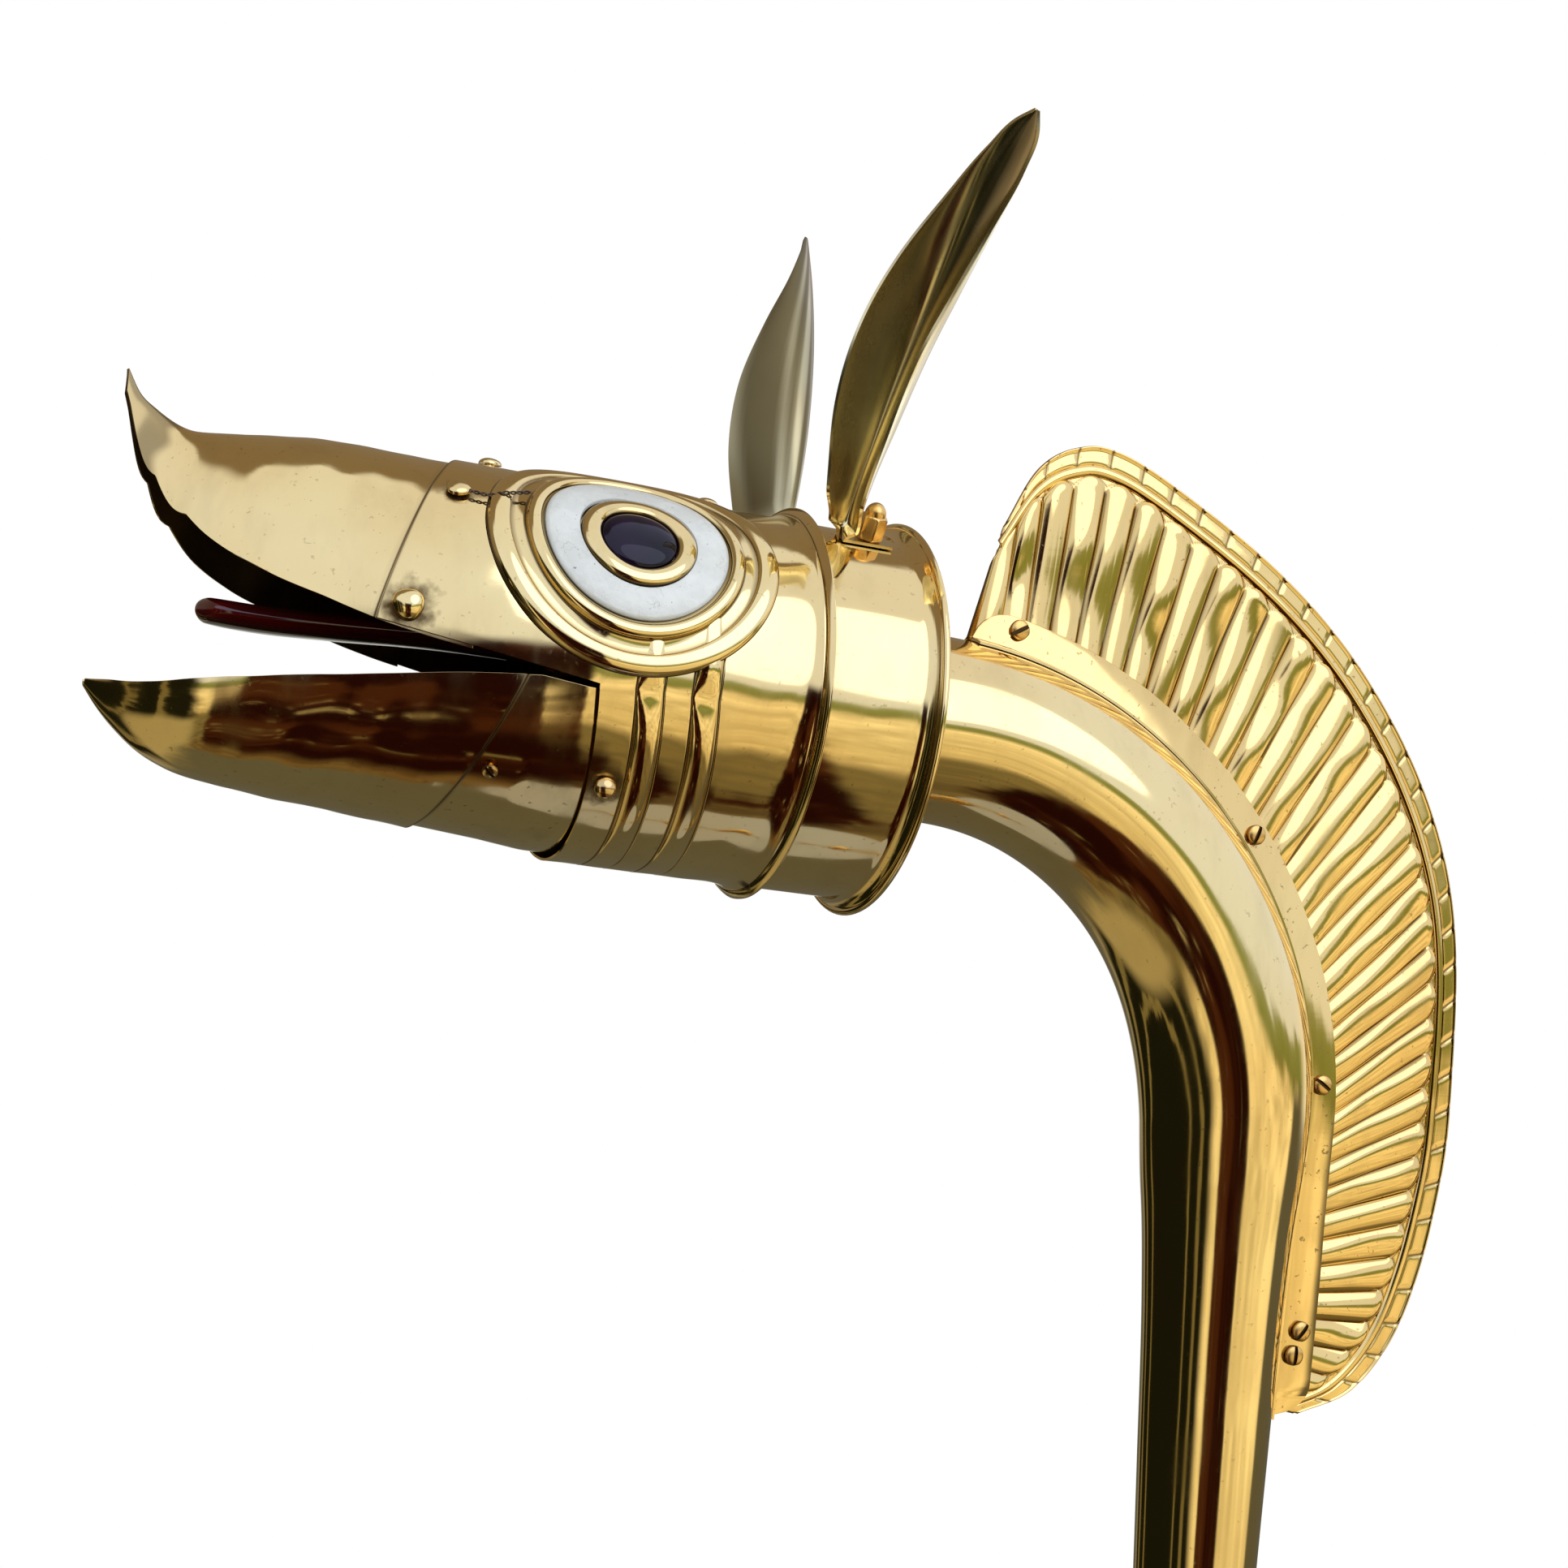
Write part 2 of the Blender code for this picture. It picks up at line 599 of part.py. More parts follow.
def make_ferrule(name, z, upper_radius, upper_slope, lower_radius):
    """A knopped ring over a joint between two tube sections."""
    top = z + FERRULE_LENGTH * 0.62
    bottom = z - FERRULE_LENGTH * 0.38
    wall = 0.0014
    bore_top = upper_radius + upper_slope * (top - z) + FIT
    body = upper_radius + upper_slope * (top - z) + FIT + wall
    knop = body + KNOP_HEIGHT
    mid = (top + bottom) / 2
    profile = [(body + 0.0012, top), (body + 0.0012, top - 0.0025), (body, top - 0.0035),
               (body, mid + 0.0085), (knop - 0.0020, mid + 0.0042), (knop, mid),
               (knop - 0.0020, mid - 0.0042), (body, mid - 0.0085),
               (body, bottom + 0.0035), (body + 0.0012, bottom + 0.0025), (body + 0.0012, bottom),
               (lower_radius + FIT, bottom), (lower_radius + FIT, z - FIT),
               (upper_radius + FIT, z - FIT), (bore_top, top)]
    return turned(name, profile, Matrix.Identity(4), GOLD_BRASS, 20, closed=True)


def make_tubes():
    """The middle and lower tubes with their two ferrules and the mouthpiece receiver."""
    tube_section("middle_tube", MIDDLE_RADIUS_TOP, MIDDLE_RADIUS_END, NECK_END_Z, MIDDLE_END_Z)
    tube_section("lower_tube", LOWER_RADIUS_TOP, LOWER_RADIUS_END, MIDDLE_END_Z, LOWER_END_Z)
    make_ferrule("upper_ferrule", NECK_END_Z, NECK_RADIUS_END, NECK_SLOPE, MIDDLE_RADIUS_TOP)
    make_ferrule("lower_ferrule", MIDDLE_END_Z, MIDDLE_RADIUS_END,
                 (MIDDLE_RADIUS_TOP - MIDDLE_RADIUS_END) / MIDDLE_LENGTH, LOWER_RADIUS_TOP)
    slope = (LOWER_RADIUS_TOP - LOWER_RADIUS_END) / LOWER_LENGTH
    bore = LOWER_RADIUS_END + FIT
    height = 0.030
    body = bore + slope * height + 0.0014
    profile = [(body, LOWER_END_Z + height), (body, LOWER_END_Z + 0.006), (body + 0.0016, LOWER_END_Z + 0.005),
               (body + 0.0016, LOWER_END_Z), (bore, LOWER_END_Z), (bore + slope * height, LOWER_END_Z + height)]
    turned("mouthpiece_receiver", profile, Matrix.Identity(4), GOLD_BRASS, 20, closed=True)


def make_mouthpiece():
    """The cupped mouthpiece, whose shank slides in the lower tube's end."""
    empty = axis_empty("mouthpiece_axis", (0, 0, LOWER_END_Z), (0, 0, 1))
    shank = LOWER_RADIUS_END - TUBE_WALL - FIT
    seat = LOWER_END_Z - FIT
    end = seat - (MOUTHPIECE_LENGTH - MOUTHPIECE_SHANK)
    cup = MOUTHPIECE_CUP
    profile = [(shank - 0.0010, seat + MOUTHPIECE_SHANK), (shank, seat + MOUTHPIECE_SHANK - 0.0015), (shank, seat),
               (shank + 0.0035, seat), (shank + 0.0035, seat - 0.0030), (0.0062, seat - 0.0070),
               (0.0058, seat - 0.0160), (0.0085, seat - 0.0250), (cup, end + 0.0080), (cup + 0.0006, end + 0.0030),
               (cup, end + 0.0008), (cup - 0.0018, end), (cup - 0.0036, end + 0.0010), (cup - 0.0050, end + 0.0060),
               (0.0050, end + 0.0130), (MOUTHPIECE_BORE, end + 0.0170), (MOUTHPIECE_BORE, seat - 0.0100),
               (0.0045, seat + MOUTHPIECE_SHANK)]
    world = Matrix.Identity(4)
    return turned("mouthpiece", profile, world, GOLD_BRASS, 16, closed=True, parent=empty)


# Crest

CREST_START = 0.0105
CREST_END = 0.3665
CREST_RIM = ((0.0150, 0.0930), (0.0205, 0.1190), (0.0290, 0.1335), (0.0402, 0.1390), (0.0687, 0.1362),
             (0.1223, 0.1355), (0.1729, 0.1305), (0.2217, 0.1163), (0.2605, 0.1117), (0.3005, 0.1037),
             (0.3335, 0.0910), (0.3565, 0.0715), (0.3665, 0.0460))
CREST_SCREWS = ((0.0262, 0.0105), (0.1374, 0.0095), (0.2270, 0.0092), (0.3300, 0.0132), (0.3405, 0.0108))
WEB_INNER = PLEAT_DEPTH / 2 + CREST_SHEET / 2 + 0.0004


def crest_point(s, height):
    """A point on the crest's middle plane: path length and height above the neck's axis."""
    centre, out = neck_frame(s)
    return centre + np.asarray(height)[..., None] * out


def make_crest():
    """The reeded crest: one sheet pressed into round pleats that fan out to a flat rim."""
    per_pleat = 3
    count = PLEATS * per_pleat
    t = np.linspace(0, 1, count + 1)
    fine = np.linspace(0, 1, 400)
    rim_s = smooth_line(fine, [(i / (len(CREST_RIM) - 1), p[0]) for i, p in enumerate(CREST_RIM)])
    rim_h = smooth_line(fine, [(i / (len(CREST_RIM) - 1), p[1]) for i, p in enumerate(CREST_RIM)])
    curve = crest_point(rim_s, rim_h)
    length = np.concatenate([[0], np.cumsum(np.linalg.norm(np.diff(curve, axis=0), axis=1))])
    rim = np.stack([np.interp(t * length[-1], length, curve[:, k]) for k in range(3)], axis=-1)
    root_s = CREST_START + t * (CREST_END - 0.004 - CREST_START)
    root = crest_point(root_s, neck_radius(root_s) + 0.0010)
    phase = np.abs(((np.arange(count + 1) % per_pleat) / per_pleat) * 2 - 1)
    swell = np.sqrt(np.clip(1 - phase**2, 0, 1))
    rows = []
    for v, depth in ((0.0, 1.0), (0.82, 1.0), (0.89, 0.0), (1.0, 0.0)):
        line = root * (1 - v) + rim * v
        line[:, 1] = PLEAT_DEPTH * (0.5 - swell * depth)
        rows.append(line)
    mesh = smooth(grid_mesh("crest", np.array(rows)), 25)
    crest = shell(place("crest", mesh, GOLD_BRASS), CREST_SHEET, 0.0)
    for i, (s, lift) in enumerate(CREST_SCREWS):
        cut(crest, crest_drill("crest_hole_%d" % (i + 1), s, lift))
    return crest


def crest_screw_place(s, lift):
    """Where a crest screw's axis crosses the middle plane."""
    centre, out = neck_frame(s)
    return centre + (float(neck_radius(s)) + lift) * out


def crest_drill(name, s, lift):
    """A drill through the flanges and the crest."""
    p = crest_screw_place(s, lift)
    reach = WEB_INNER + FLANGE_SHEET + 0.004
    return cutter_rod(name, p - np.array([0, reach, 0]), p + np.array([0, reach, 0]), CREST_SCREW_RADIUS + FIT, 10)


def make_flange(name, side):
    """An angle strip along the neck: its foot lies on the tube and its web clamps the crest."""
    between = [s for s in NECK_PATH if CREST_START + 0.013 < s < CREST_END - 0.015]
    path = np.array([CREST_START, CREST_START + 0.0015, CREST_START + 0.005, CREST_START + 0.013, *between,
                     CREST_END - 0.013, CREST_END - 0.005, CREST_END - 0.0015, CREST_END])
    end = np.minimum(path - path[0], path[-1] - path) / 0.013
    rise = smooth_line(path, FLANGE_HEIGHTS) * np.sqrt(np.clip(1 - (1 - np.clip(end, 0, 1)) ** 2, 0, 1))
    rise = np.maximum(rise, FLANGE_SHEET * 1.6)
    rows = []
    for s, lift in zip(path, rise):
        centre, out = neck_frame(s)
        radius = float(neck_radius(s)) + FIT
        inner = WEB_INNER
        outer = WEB_INNER + FLANGE_SHEET
        toe = outer + FLANGE_FOOT
        middle = (outer + toe) / 2
        section = [(inner, radius + lift), (outer, radius + lift),
                   (outer, math.sqrt(radius**2 - outer**2) + FLANGE_SHEET),
                   (middle, math.sqrt(radius**2 - middle**2) + FLANGE_SHEET),
                   (toe, math.sqrt(radius**2 - toe**2) + FLANGE_SHEET),
                   (toe, math.sqrt(radius**2 - toe**2)), (middle, math.sqrt(radius**2 - middle**2) + 0.0001),
                   (inner, radius + 0.0001)]
        rows.append([centre + h * out + np.array([0, side * y, 0]) for y, h in section])
    mesh = grid_mesh(name, np.array(rows), close_columns=True)
    bm = bmesh.new()
    bm.from_mesh(mesh)
    bm.verts.ensure_lookup_table()
    count = len(rows[0])
    total = len(rows) * count
    bm.faces.new([bm.verts[i] for i in range(count)])
    bm.faces.new([bm.verts[i] for i in range(total - 1, total - count - 1, -1)])
    bmesh.ops.recalc_face_normals(bm, faces=bm.faces)
    bm.to_mesh(mesh)
    bm.free()
    flange = place(name, smooth(mesh), GOLD_BRASS)
    for i, (s, lift) in enumerate(CREST_SCREWS):
        cut(flange, crest_drill(name + "_hole_%d" % (i + 1), s, lift))
    return flange


def hex_nut(name, matrix, flats, height, bore, colour):
    """A plain six-sided nut, bored through, standing on local Z = 0."""
    bm = bmesh.new()
    bmesh.ops.create_cone(bm, cap_ends=True, segments=6, radius1=flats / math.sqrt(3),
                          radius2=flats / math.sqrt(3), depth=height)
    bmesh.ops.translate(bm, verts=bm.verts, vec=(0, 0, height / 2))
    mesh = bpy.data.meshes.new(name)
    bm.to_mesh(mesh)
    bm.free()
    nut = place(name, mesh, colour, matrix=matrix)
    base = matrix.translation
    axis = matrix.to_3x3() @ Vector((0, 0, 1))
    cut(nut, cutter_rod(name + "_bore", base - axis * 0.001, base + axis * (height + 0.001), bore, 10))
    return nut


def screw_profile(radius, head_radius, head_height, length):
    """A low domed head on a plain shank, from the crown down."""
    return [(0.0, head_height), (head_radius * 0.62, head_height * 0.90), (head_radius * 0.93, head_height * 0.45),
            (head_radius, 0.0), (radius, 0.0), (radius, -length), (0.0, -length)]


def make_crest_fasteners():
    """Screws from the left and plain nuts on the right, through both flanges and the crest."""
    face = WEB_INNER + FLANGE_SHEET + FIT
    nut_height = 0.0028
    for i, (s, lift) in enumerate(CREST_SCREWS):
        p = Vector(crest_screw_place(s, lift))
        left = look_along(p + Vector((0, -face, 0)), (0, -1, 0))
        turned("crest_screw_%d" % (i + 1), screw_profile(CREST_SCREW_RADIUS, CREST_SCREW_HEAD, 0.0019,
                                                         2 * face + nut_height + 0.0008), left, NUT_BRASS, 10)
        right = look_along(p + Vector((0, face, 0)), (0, 1, 0))
        hex_nut("crest_nut_%d" % (i + 1), right, 0.0070, nut_height, CREST_SCREW_RADIUS + FIT, NUT_BRASS)


# Eyes

def eye_surface(rho, turn, height, side):
    """A point of the eye, laid on the head's skin round the eye's middle."""
    x = EYE_X + rho * np.cos(turn)
    angle = EYE_ANGLE + np.degrees(rho * np.sin(turn) / HEAD_RADIUS)
    p = head_point(x, angle, height)
    if side > 0:
        p[..., 1] = -p[..., 1]
    return p


def eye_piece(name, top, bottom, side, colour, roughness=0.2, metallic=1.0, steps=24):
    """A ring or disc of the eye: its top heights by radius, over a level underside."""
    turn = np.linspace(0, math.tau, steps + 1)[:-1]
    reach = top[-1][0] - top[0][0]
    under = max(1, round(reach / 0.0145))
    loop = list(top) + [(top[-1][0] - reach * i / under, bottom) for i in range(under + 1)]
    if top[0][0] > 0.0:
        loop.append(loop[0])
    rows = [eye_surface(np.full(steps, r), turn, np.full(steps, h), side) for r, h in loop]
    mesh = grid_mesh(name, np.array(rows), close_columns=True)
    bm = bmesh.new()
    bm.from_mesh(mesh)
    bmesh.ops.remove_doubles(bm, verts=bm.verts, dist=0.000002)
    bmesh.ops.recalc_face_normals(bm, faces=bm.faces)
    bm.to_mesh(mesh)
    bm.free()
    return place(name, smooth(mesh), colour, roughness, metallic, HEAD_FRAME)


def make_eye(word, side):
    """One eye: a double-ringed plate, an enamel ring, a bezel and a polished stone."""
    floor = 0.0028
    plate = [(0.0, floor), (BEZEL_RADIUS, floor), (ENAMEL_RADIUS + EYE_FIT, floor), (ENAMEL_RADIUS + 0.0011, 0.0050),
             (EYE_INNER_RING - 0.0022, 0.0054), (EYE_INNER_RING, 0.0038), (EYE_INNER_RING + 0.0010, 0.0020),
             (0.0485, 0.0020), (0.0520, 0.0034), (EYE_RADIUS - 0.0015, 0.0030), (EYE_RADIUS, EYE_LIFT + 0.0008)]
    eye_piece("eye_plate_" + word, plate, EYE_LIFT, side, BRASS)
    seat = floor + EYE_FIT
    eye_piece("eye_enamel_" + word, [(BEZEL_RADIUS + FIT, 0.0056), (0.0300, 0.0054), (ENAMEL_RADIUS, 0.0044)],
              seat, side, ENAMEL, 0.35, 0.0)
    eye_piece("eye_bezel_" + word, [(STONE_RADIUS + FIT, 0.0078), (0.0185, 0.0086), (0.0208, 0.0078),
                                    (BEZEL_RADIUS, 0.0058)], seat, side, BRASS)
    eye_piece("eye_stone_" + word, [(0.0, 0.0102), (0.0080, 0.0097), (0.0130, 0.0085), (STONE_RADIUS, 0.0068)],
              seat, side, STONE, 0.05, 0.0)


# Ears

def ear_frame(side):
    """The stud's foot, its outward axis and the ear's long direction."""
    a = math.radians(EAR_ANGLE)
    out = Vector((0, side * math.cos(a), math.sin(a)))
    foot = Vector((REAR_RIM_X + EAR_STUD_X, 0, HEAD_HEIGHT)) + out * (HEAD_RADIUS + FIT)
    lean = math.radians(EAR_LEAN_OUT)
    back = math.radians(EAR_LEAN_BACK)
    along = Vector((math.sin(back), side * math.sin(lean) * math.cos(back), math.cos(lean) * math.cos(back)))
    return foot, out, along.normalized()


# The leaf's half width and the depth of its hollow along its length
EAR_WIDTHS = ((0.0, 0.0046), (0.08, 0.0056), (0.18, 0.0080), (0.32, 0.0118), (0.48, 0.0138), (0.64, 0.0145),
              (0.78, 0.0129), (0.90, 0.0104), (0.97, 0.0062), (1.0, 0.0010))
EAR_DEPTHS = ((0.0, 0.0235), (0.08, 0.0275), (0.18, 0.0316), (0.32, 0.0340), (0.48, 0.0304), (0.64, 0.0191),
              (0.78, 0.0089), (0.90, 0.0030), (0.97, 0.0012), (1.0, 0.0006))


def ear_leaf(s, side, along):
    """The leaf's offsets from its straight line at one place along it, from edge to edge."""
    turn = EAR_FACING[0] + (EAR_FACING[1] - EAR_FACING[0]) * s
    facing = Vector((-math.cos(turn), side * math.sin(turn), 0.0))
    facing = (facing - along * facing.dot(along)).normalized()
    across = (along.cross(facing) * -side).normalized()
    width = float(smooth_line(s, EAR_WIDTHS))
    depth = float(smooth_line(s, EAR_DEPTHS))
    bow = Vector((0.0, -side * EAR_BOW * 4 * s * (1 - s), 0.0))
    return [bow + across * (width * math.sin(EAR_CURL * c)) + facing * (depth * (1 - math.cos(EAR_CURL * c)))
            for c in np.linspace(-1, 1, 9)]


def make_ear(word, side):
    """One ear: a hollow leaf that turns as it rises, bent over at its root into a foot under the cap nut."""
    foot, out, along = ear_frame(side)
    axis = axis_empty("ear_axis_" + word, foot, out, HEAD_FRAME)
    rear = Vector((1, 0, 0))
    wide = out.cross(rear).normalized() * side
    level = foot + out * (EAR_SHEET / 2)
    root = level - rear * EAR_FOOT_FRONT
    edge = np.linspace(-1, 1, 9) * (EAR_FOOT_WIDTH / 2)
    rows = []
    for d in (EAR_FOOT_LENGTH - EAR_FOOT_FRONT, EAR_FOOT_WIDTH / 2, 0.0, -EAR_FOOT_WIDTH / 2):
        rows.append([level + rear * d + wide * e for e in edge])
    for s in (0.008, 0.02, 0.05, 0.09, 0.14, 0.21, 0.30, 0.40, 0.50, 0.60, 0.70, 0.80, 0.88, 0.94, 0.98, 1.0):
        blend = min(1.0, s / 0.10)
        blend = blend * blend * (3 - 2 * blend)
        leaf = ear_leaf(s, side, along)
        rows.append([root + along * (EAR_LENGTH * s) + p * blend + wide * (e * (1 - blend)) for p, e in zip(leaf, edge)])
    mesh = smooth(grid_mesh("ear_" + word, np.array([[list(p) for p in row] for row in rows])), 60)
    ear = shell(place("ear_" + word, mesh, BRASS, parent=axis), EAR_SHEET, 0.0)
    cut(ear, cutter_rod("ear_hole_" + word, foot - out * 0.003, foot + out * 0.006, STUD_RADIUS + FIT, 16, HEAD_FRAME))
    return ear


def make_ear_fixing(word, side):
    """The stud through the collar and the domed cap nut that clamps the ear's foot."""
    foot, out, along = ear_frame(side)
    matrix = look_along(foot, out)
    length = EAR_SHEET + NUT_HEIGHT * 0.8
    inside = SHEET + FIT + 0.0014
    profile = [(0.0, length), (STUD_RADIUS, length), (STUD_RADIUS, -inside),
               (STUD_RADIUS + 0.0028, -inside), (STUD_RADIUS + 0.0028, -inside - 0.0020), (0.0, -inside - 0.0020)]
    turned("ear_stud_" + word, profile, matrix, NUT_BRASS, 12, parent=HEAD_FRAME)
    seat = look_along(foot + out * (EAR_SHEET + 0.0006), out)
    mesh_parts = bmesh.new()
    bmesh.ops.create_cone(mesh_parts, cap_ends=True, segments=6, radius1=NUT_FLATS / math.sqrt(3),
                          radius2=NUT_FLATS / math.sqrt(3), depth=NUT_HEIGHT)
    bmesh.ops.translate(mesh_parts, verts=mesh_parts.verts, vec=(0, 0, NUT_HEIGHT / 2))
    mesh = bpy.data.meshes.new("ear_nut_" + word)
    mesh_parts.to_mesh(mesh)
    mesh_parts.free()
    nut = place("ear_nut_" + word, mesh, NUT_BRASS, matrix=seat, parent=HEAD_FRAME)
    dome_profile = [(0.0, NUT_HEIGHT + NUT_DOME), (0.0022, NUT_HEIGHT + NUT_DOME * 0.9),
                    (0.0039, NUT_HEIGHT + NUT_DOME * 0.6), (0.0045, NUT_HEIGHT), (0.0045, NUT_HEIGHT - 0.002),
                    (0.0, NUT_HEIGHT - 0.002)]
    dome = bpy.data.objects.new("ear_nut_dome_" + word, turned_mesh("dome", dome_profile))
    CUTTERS.objects.link(dome)
    dome.matrix_world = seat
    dome.hide_render = True
    dome.display_type = "WIRE"
    keep_place(dome, HEAD_FRAME)
    spin = dome.modifiers.new("turn", "SCREW")
    spin.steps = 14
    spin.render_steps = 14
    spin.use_merge_vertices = True
    spin.merge_threshold = 0.00001
    join = nut.modifiers.new("dome", "BOOLEAN")
    join.operation = "UNION"
    join.object = dome
    base = Vector(seat.translation)
    cut(nut, cutter_rod("ear_nut_bore_" + word, base - out * 0.001, base + out * (NUT_HEIGHT * 0.8 + 0.0006),
                        STUD_RADIUS + FIT, 16, HEAD_FRAME))
    return nut


# Rivets and jaw screws

RIVETS = (("snout_rivet_low", -0.2100, 8.0, 0.0058, 0.0042), ("snout_rivet_high", -0.1930, 50.0, 0.0046, 0.0024))
CROWN_RIVETS = (("crown_rivet_front", -0.1725, 0.0046, 0.0026), ("crown_rivet_rear", -0.0820, 0.0046, 0.0026))


def skin_matrix(x, angle, lift, side):
    """A frame standing on the head's skin."""
    p = head_point(np.array(x), np.array(angle), lift)
    a = head_point(np.array(x + 0.001), np.array(angle), lift)
    b = head_point(np.array(x), np.array(angle + 1.0), lift)
    n = np.cross(a - p, b - p)
    n = n / np.linalg.norm(n)
    if n @ np.array([0, -math.cos(math.radians(angle)), math.sin(math.radians(angle))]) < 0:
        n = -n
    if side > 0:
        p = p * np.array([1, -1, 1])
        n = n * np.array([1, -1, 1])
    return look_along(Vector(p), Vector(n))


def make_rivets(head, snout):
    """Domed rivets through the lap between head and snout, and two on the crown."""
    places = []
    for name, x, angle, radius, height in RIVETS:
        for word, side in (("left", -1), ("right", 1)):
            places.append((name + "_" + word, skin_matrix(x, angle, FIT, side), radius, height))
    for name, x, radius, height in CROWN_RIVETS:
        places.append((name, skin_matrix(x, 90.0, FIT, -1), radius, height))
    for name, matrix, radius, height in places:
        shank = radius * 0.42
        deep = 0.0042
        profile = [(0.0, height), (radius * 0.6, height * 0.86), (radius, height * 0.25),
                   (radius, 0.0), (shank, 0.0), (shank, -deep), (0.0, -deep)]
        turned(name, profile, matrix, BRASS, 10, parent=HEAD_FRAME)
        base = matrix.translation
        axis = matrix.to_3x3() @ Vector((0, 0, 1))
        rod = cutter_rod(name + "_drill", base - axis * 0.012, base + axis * 0.004, shank + FIT, 12, HEAD_FRAME)
        cut(head, rod)
        if name != "crown_rivet_rear":
            cut(snout, rod)


def make_hinge_screws(head, rear):
    """The two screws in the throat that the jaw turns on."""
    for word, side in (("left", -1), ("right", 1)):
        a = math.radians(JAW_PIVOT_ANGLE)
        out = Vector((0, side, 0))
        y_skin = HEAD_RADIUS * math.cos(a)
        point = Vector((REAR_RIM_X + JAW_PIVOT_X, side * (y_skin + 0.0036), HEAD_HEIGHT + HEAD_RADIUS * math.sin(a)))
        matrix = look_along(point, out)
        radius = 0.0020
        profile = screw_profile(radius, 0.0043, 0.0026, 0.0120)
        turned("jaw_pivot_" + word, profile, matrix, NUT_BRASS, 12, parent=HEAD_FRAME)
        rod = cutter_rod("jaw_pivot_drill_" + word, point + out * 0.002, point - out * 0.016, radius + FIT, 14,
                         HEAD_FRAME)
        cut(head, rod)
        cut(rear, rod)


def make_jaw_joint_screws(front, rear, empty):
    """The screws that hold the jaw's two sheets together."""
    for word, side in (("left", -1), ("right", 1)):
        p = jaw_point(np.array(JAW_SCREW_X), np.array(JAW_SCREW_ANGLE))
        q = jaw_point(np.array(JAW_SCREW_X + 0.001), np.array(JAW_SCREW_ANGLE))
        r = jaw_point(np.array(JAW_SCREW_X), np.array(JAW_SCREW_ANGLE + 1.0))
        out = np.cross(r - p, q - p)
        out = Vector(out / np.linalg.norm(out))
        if out.y > 0:
            out = -out
        point = Vector(p)
        if side > 0:
            out.y = -out.y
            point.y = -point.y
        seat = point + out * (FIT + 0.0001)
        radius = 0.0014
        turned("jaw_screw_" + word, screw_profile(radius, 0.0030, 0.0014, 0.0050), look_along(seat, out),
               BRASS, 10, parent=empty)
        rod = cutter_rod("jaw_screw_drill_" + word, seat + out * 0.003, seat - out * 0.006, radius + FIT, 10, empty)
        cut(front, rod)
        cut(rear, rod)


def make_tongue():
    """The tongue: a smooth wooden paddle whose root turns on a cross pin in the throat."""
    pin = Vector((REAR_RIM_X + TONGUE_PIN_X, 0, HEAD_HEIGHT + TONGUE_PIN_Z))
    axis = axis_empty("tongue_axis", pin, (0, 1, 0), HEAD_FRAME)
    rows = []
    turn = np.linspace(0, math.tau, 13)[:-1]
    for x, width, thick, z in TONGUE_STATIONS:
        y = width * np.sign(np.cos(turn)) * np.abs(np.cos(turn)) ** 0.7
        rows.append(np.stack([np.full(12, REAR_RIM_X + x), y, HEAD_HEIGHT + z + thick * np.sin(turn)], axis=-1))
    mesh = grid_mesh("tongue", np.array(rows), close_columns=True)
    bm = bmesh.new()
    bm.from_mesh(mesh)
    bm.verts.ensure_lookup_table()
    total = len(rows) * 12
    bm.faces.new([bm.verts[i] for i in range(12)])
    bm.faces.new([bm.verts[i] for i in range(total - 1, total - 13, -1)])
    bmesh.ops.recalc_face_normals(bm, faces=bm.faces)
    bm.to_mesh(mesh)
    bm.free()
    tongue = place("tongue", smooth(mesh, 50), TONGUE_RED, 0.15, 0.0, axis)
    half = TONGUE_STATIONS[-1][1] + 0.004
    bore = TONGUE_PIN_RADIUS + FIT
    cut(tongue, cutter_rod("tongue_bore", pin - Vector((0, half, 0)), pin + Vector((0, half, 0)), bore, 14, HEAD_FRAME))
    reach = math.sqrt((HEAD_RADIUS - SHEET) ** 2 - TONGUE_PIN_Z ** 2) - 4 * FIT
    rod = bmesh.new()
    bmesh.ops.create_cone(rod, cap_ends=True, segments=14, radius1=TONGUE_PIN_RADIUS, radius2=TONGUE_PIN_RADIUS,
                          depth=2 * reach)
    pin_mesh = bpy.data.meshes.new("tongue_pin")
    rod.to_mesh(pin_mesh)
    rod.free()
    place("tongue_pin", smooth(pin_mesh), BRASS, parent=HEAD_FRAME, matrix=look_along(pin, (0, 1, 0)))


def build():
    """Model every piece."""
    head = make_head_shell()
    snout = make_snout()
    hinge_place = jaw_pivot(-1)
    hinge = axis_empty("jaw_hinge_axis", (hinge_place.x, 0.0, hinge_place.z), (0, 1, 0), HEAD_FRAME)
    front, rear = make_jaw(hinge)
    collar = make_collar()
    make_back_plate()
    make_neck()
    make_tubes()
    make_mouthpiece()
    make_crest()
    make_flange("crest_flange_left", -1)
    make_flange("crest_flange_right", 1)
    make_crest_fasteners()
    for word, side in (("left", -1), ("right", 1)):
        make_eye(word, side)
        make_ear(word, side)
        make_ear_fixing(word, side)
        foot, out, along = ear_frame(side)
        cut(collar, cutter_rod("collar_hole_" + word, foot - out * 0.004, foot + out * 0.004, STUD_RADIUS + FIT, 16,
                               HEAD_FRAME))
    make_rivets(head, snout)
    make_hinge_screws(head, rear)
    make_jaw_joint_screws(front, rear, hinge)
    make_tongue()
    HEAD_FRAME.rotation_euler.y = HEAD_PITCH
    bpy.context.view_layer.update()


build()
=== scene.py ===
"""Carnyx, dressed: polished sheet brass, a reeded crest, enamelled eyes and a lacquered tongue.

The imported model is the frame. Each shape below is a function of two parameters, worked out with numpy
in metres. Head pieces are made in the head's own frame (x along the head from the rear rim of the
collar, z up) and tipped up by the head's pitch. Side -1 is the animal's left, 1 its right.
"""
import math

import bmesh
import bpy
import numpy as np
from mathutils import Matrix, Vector


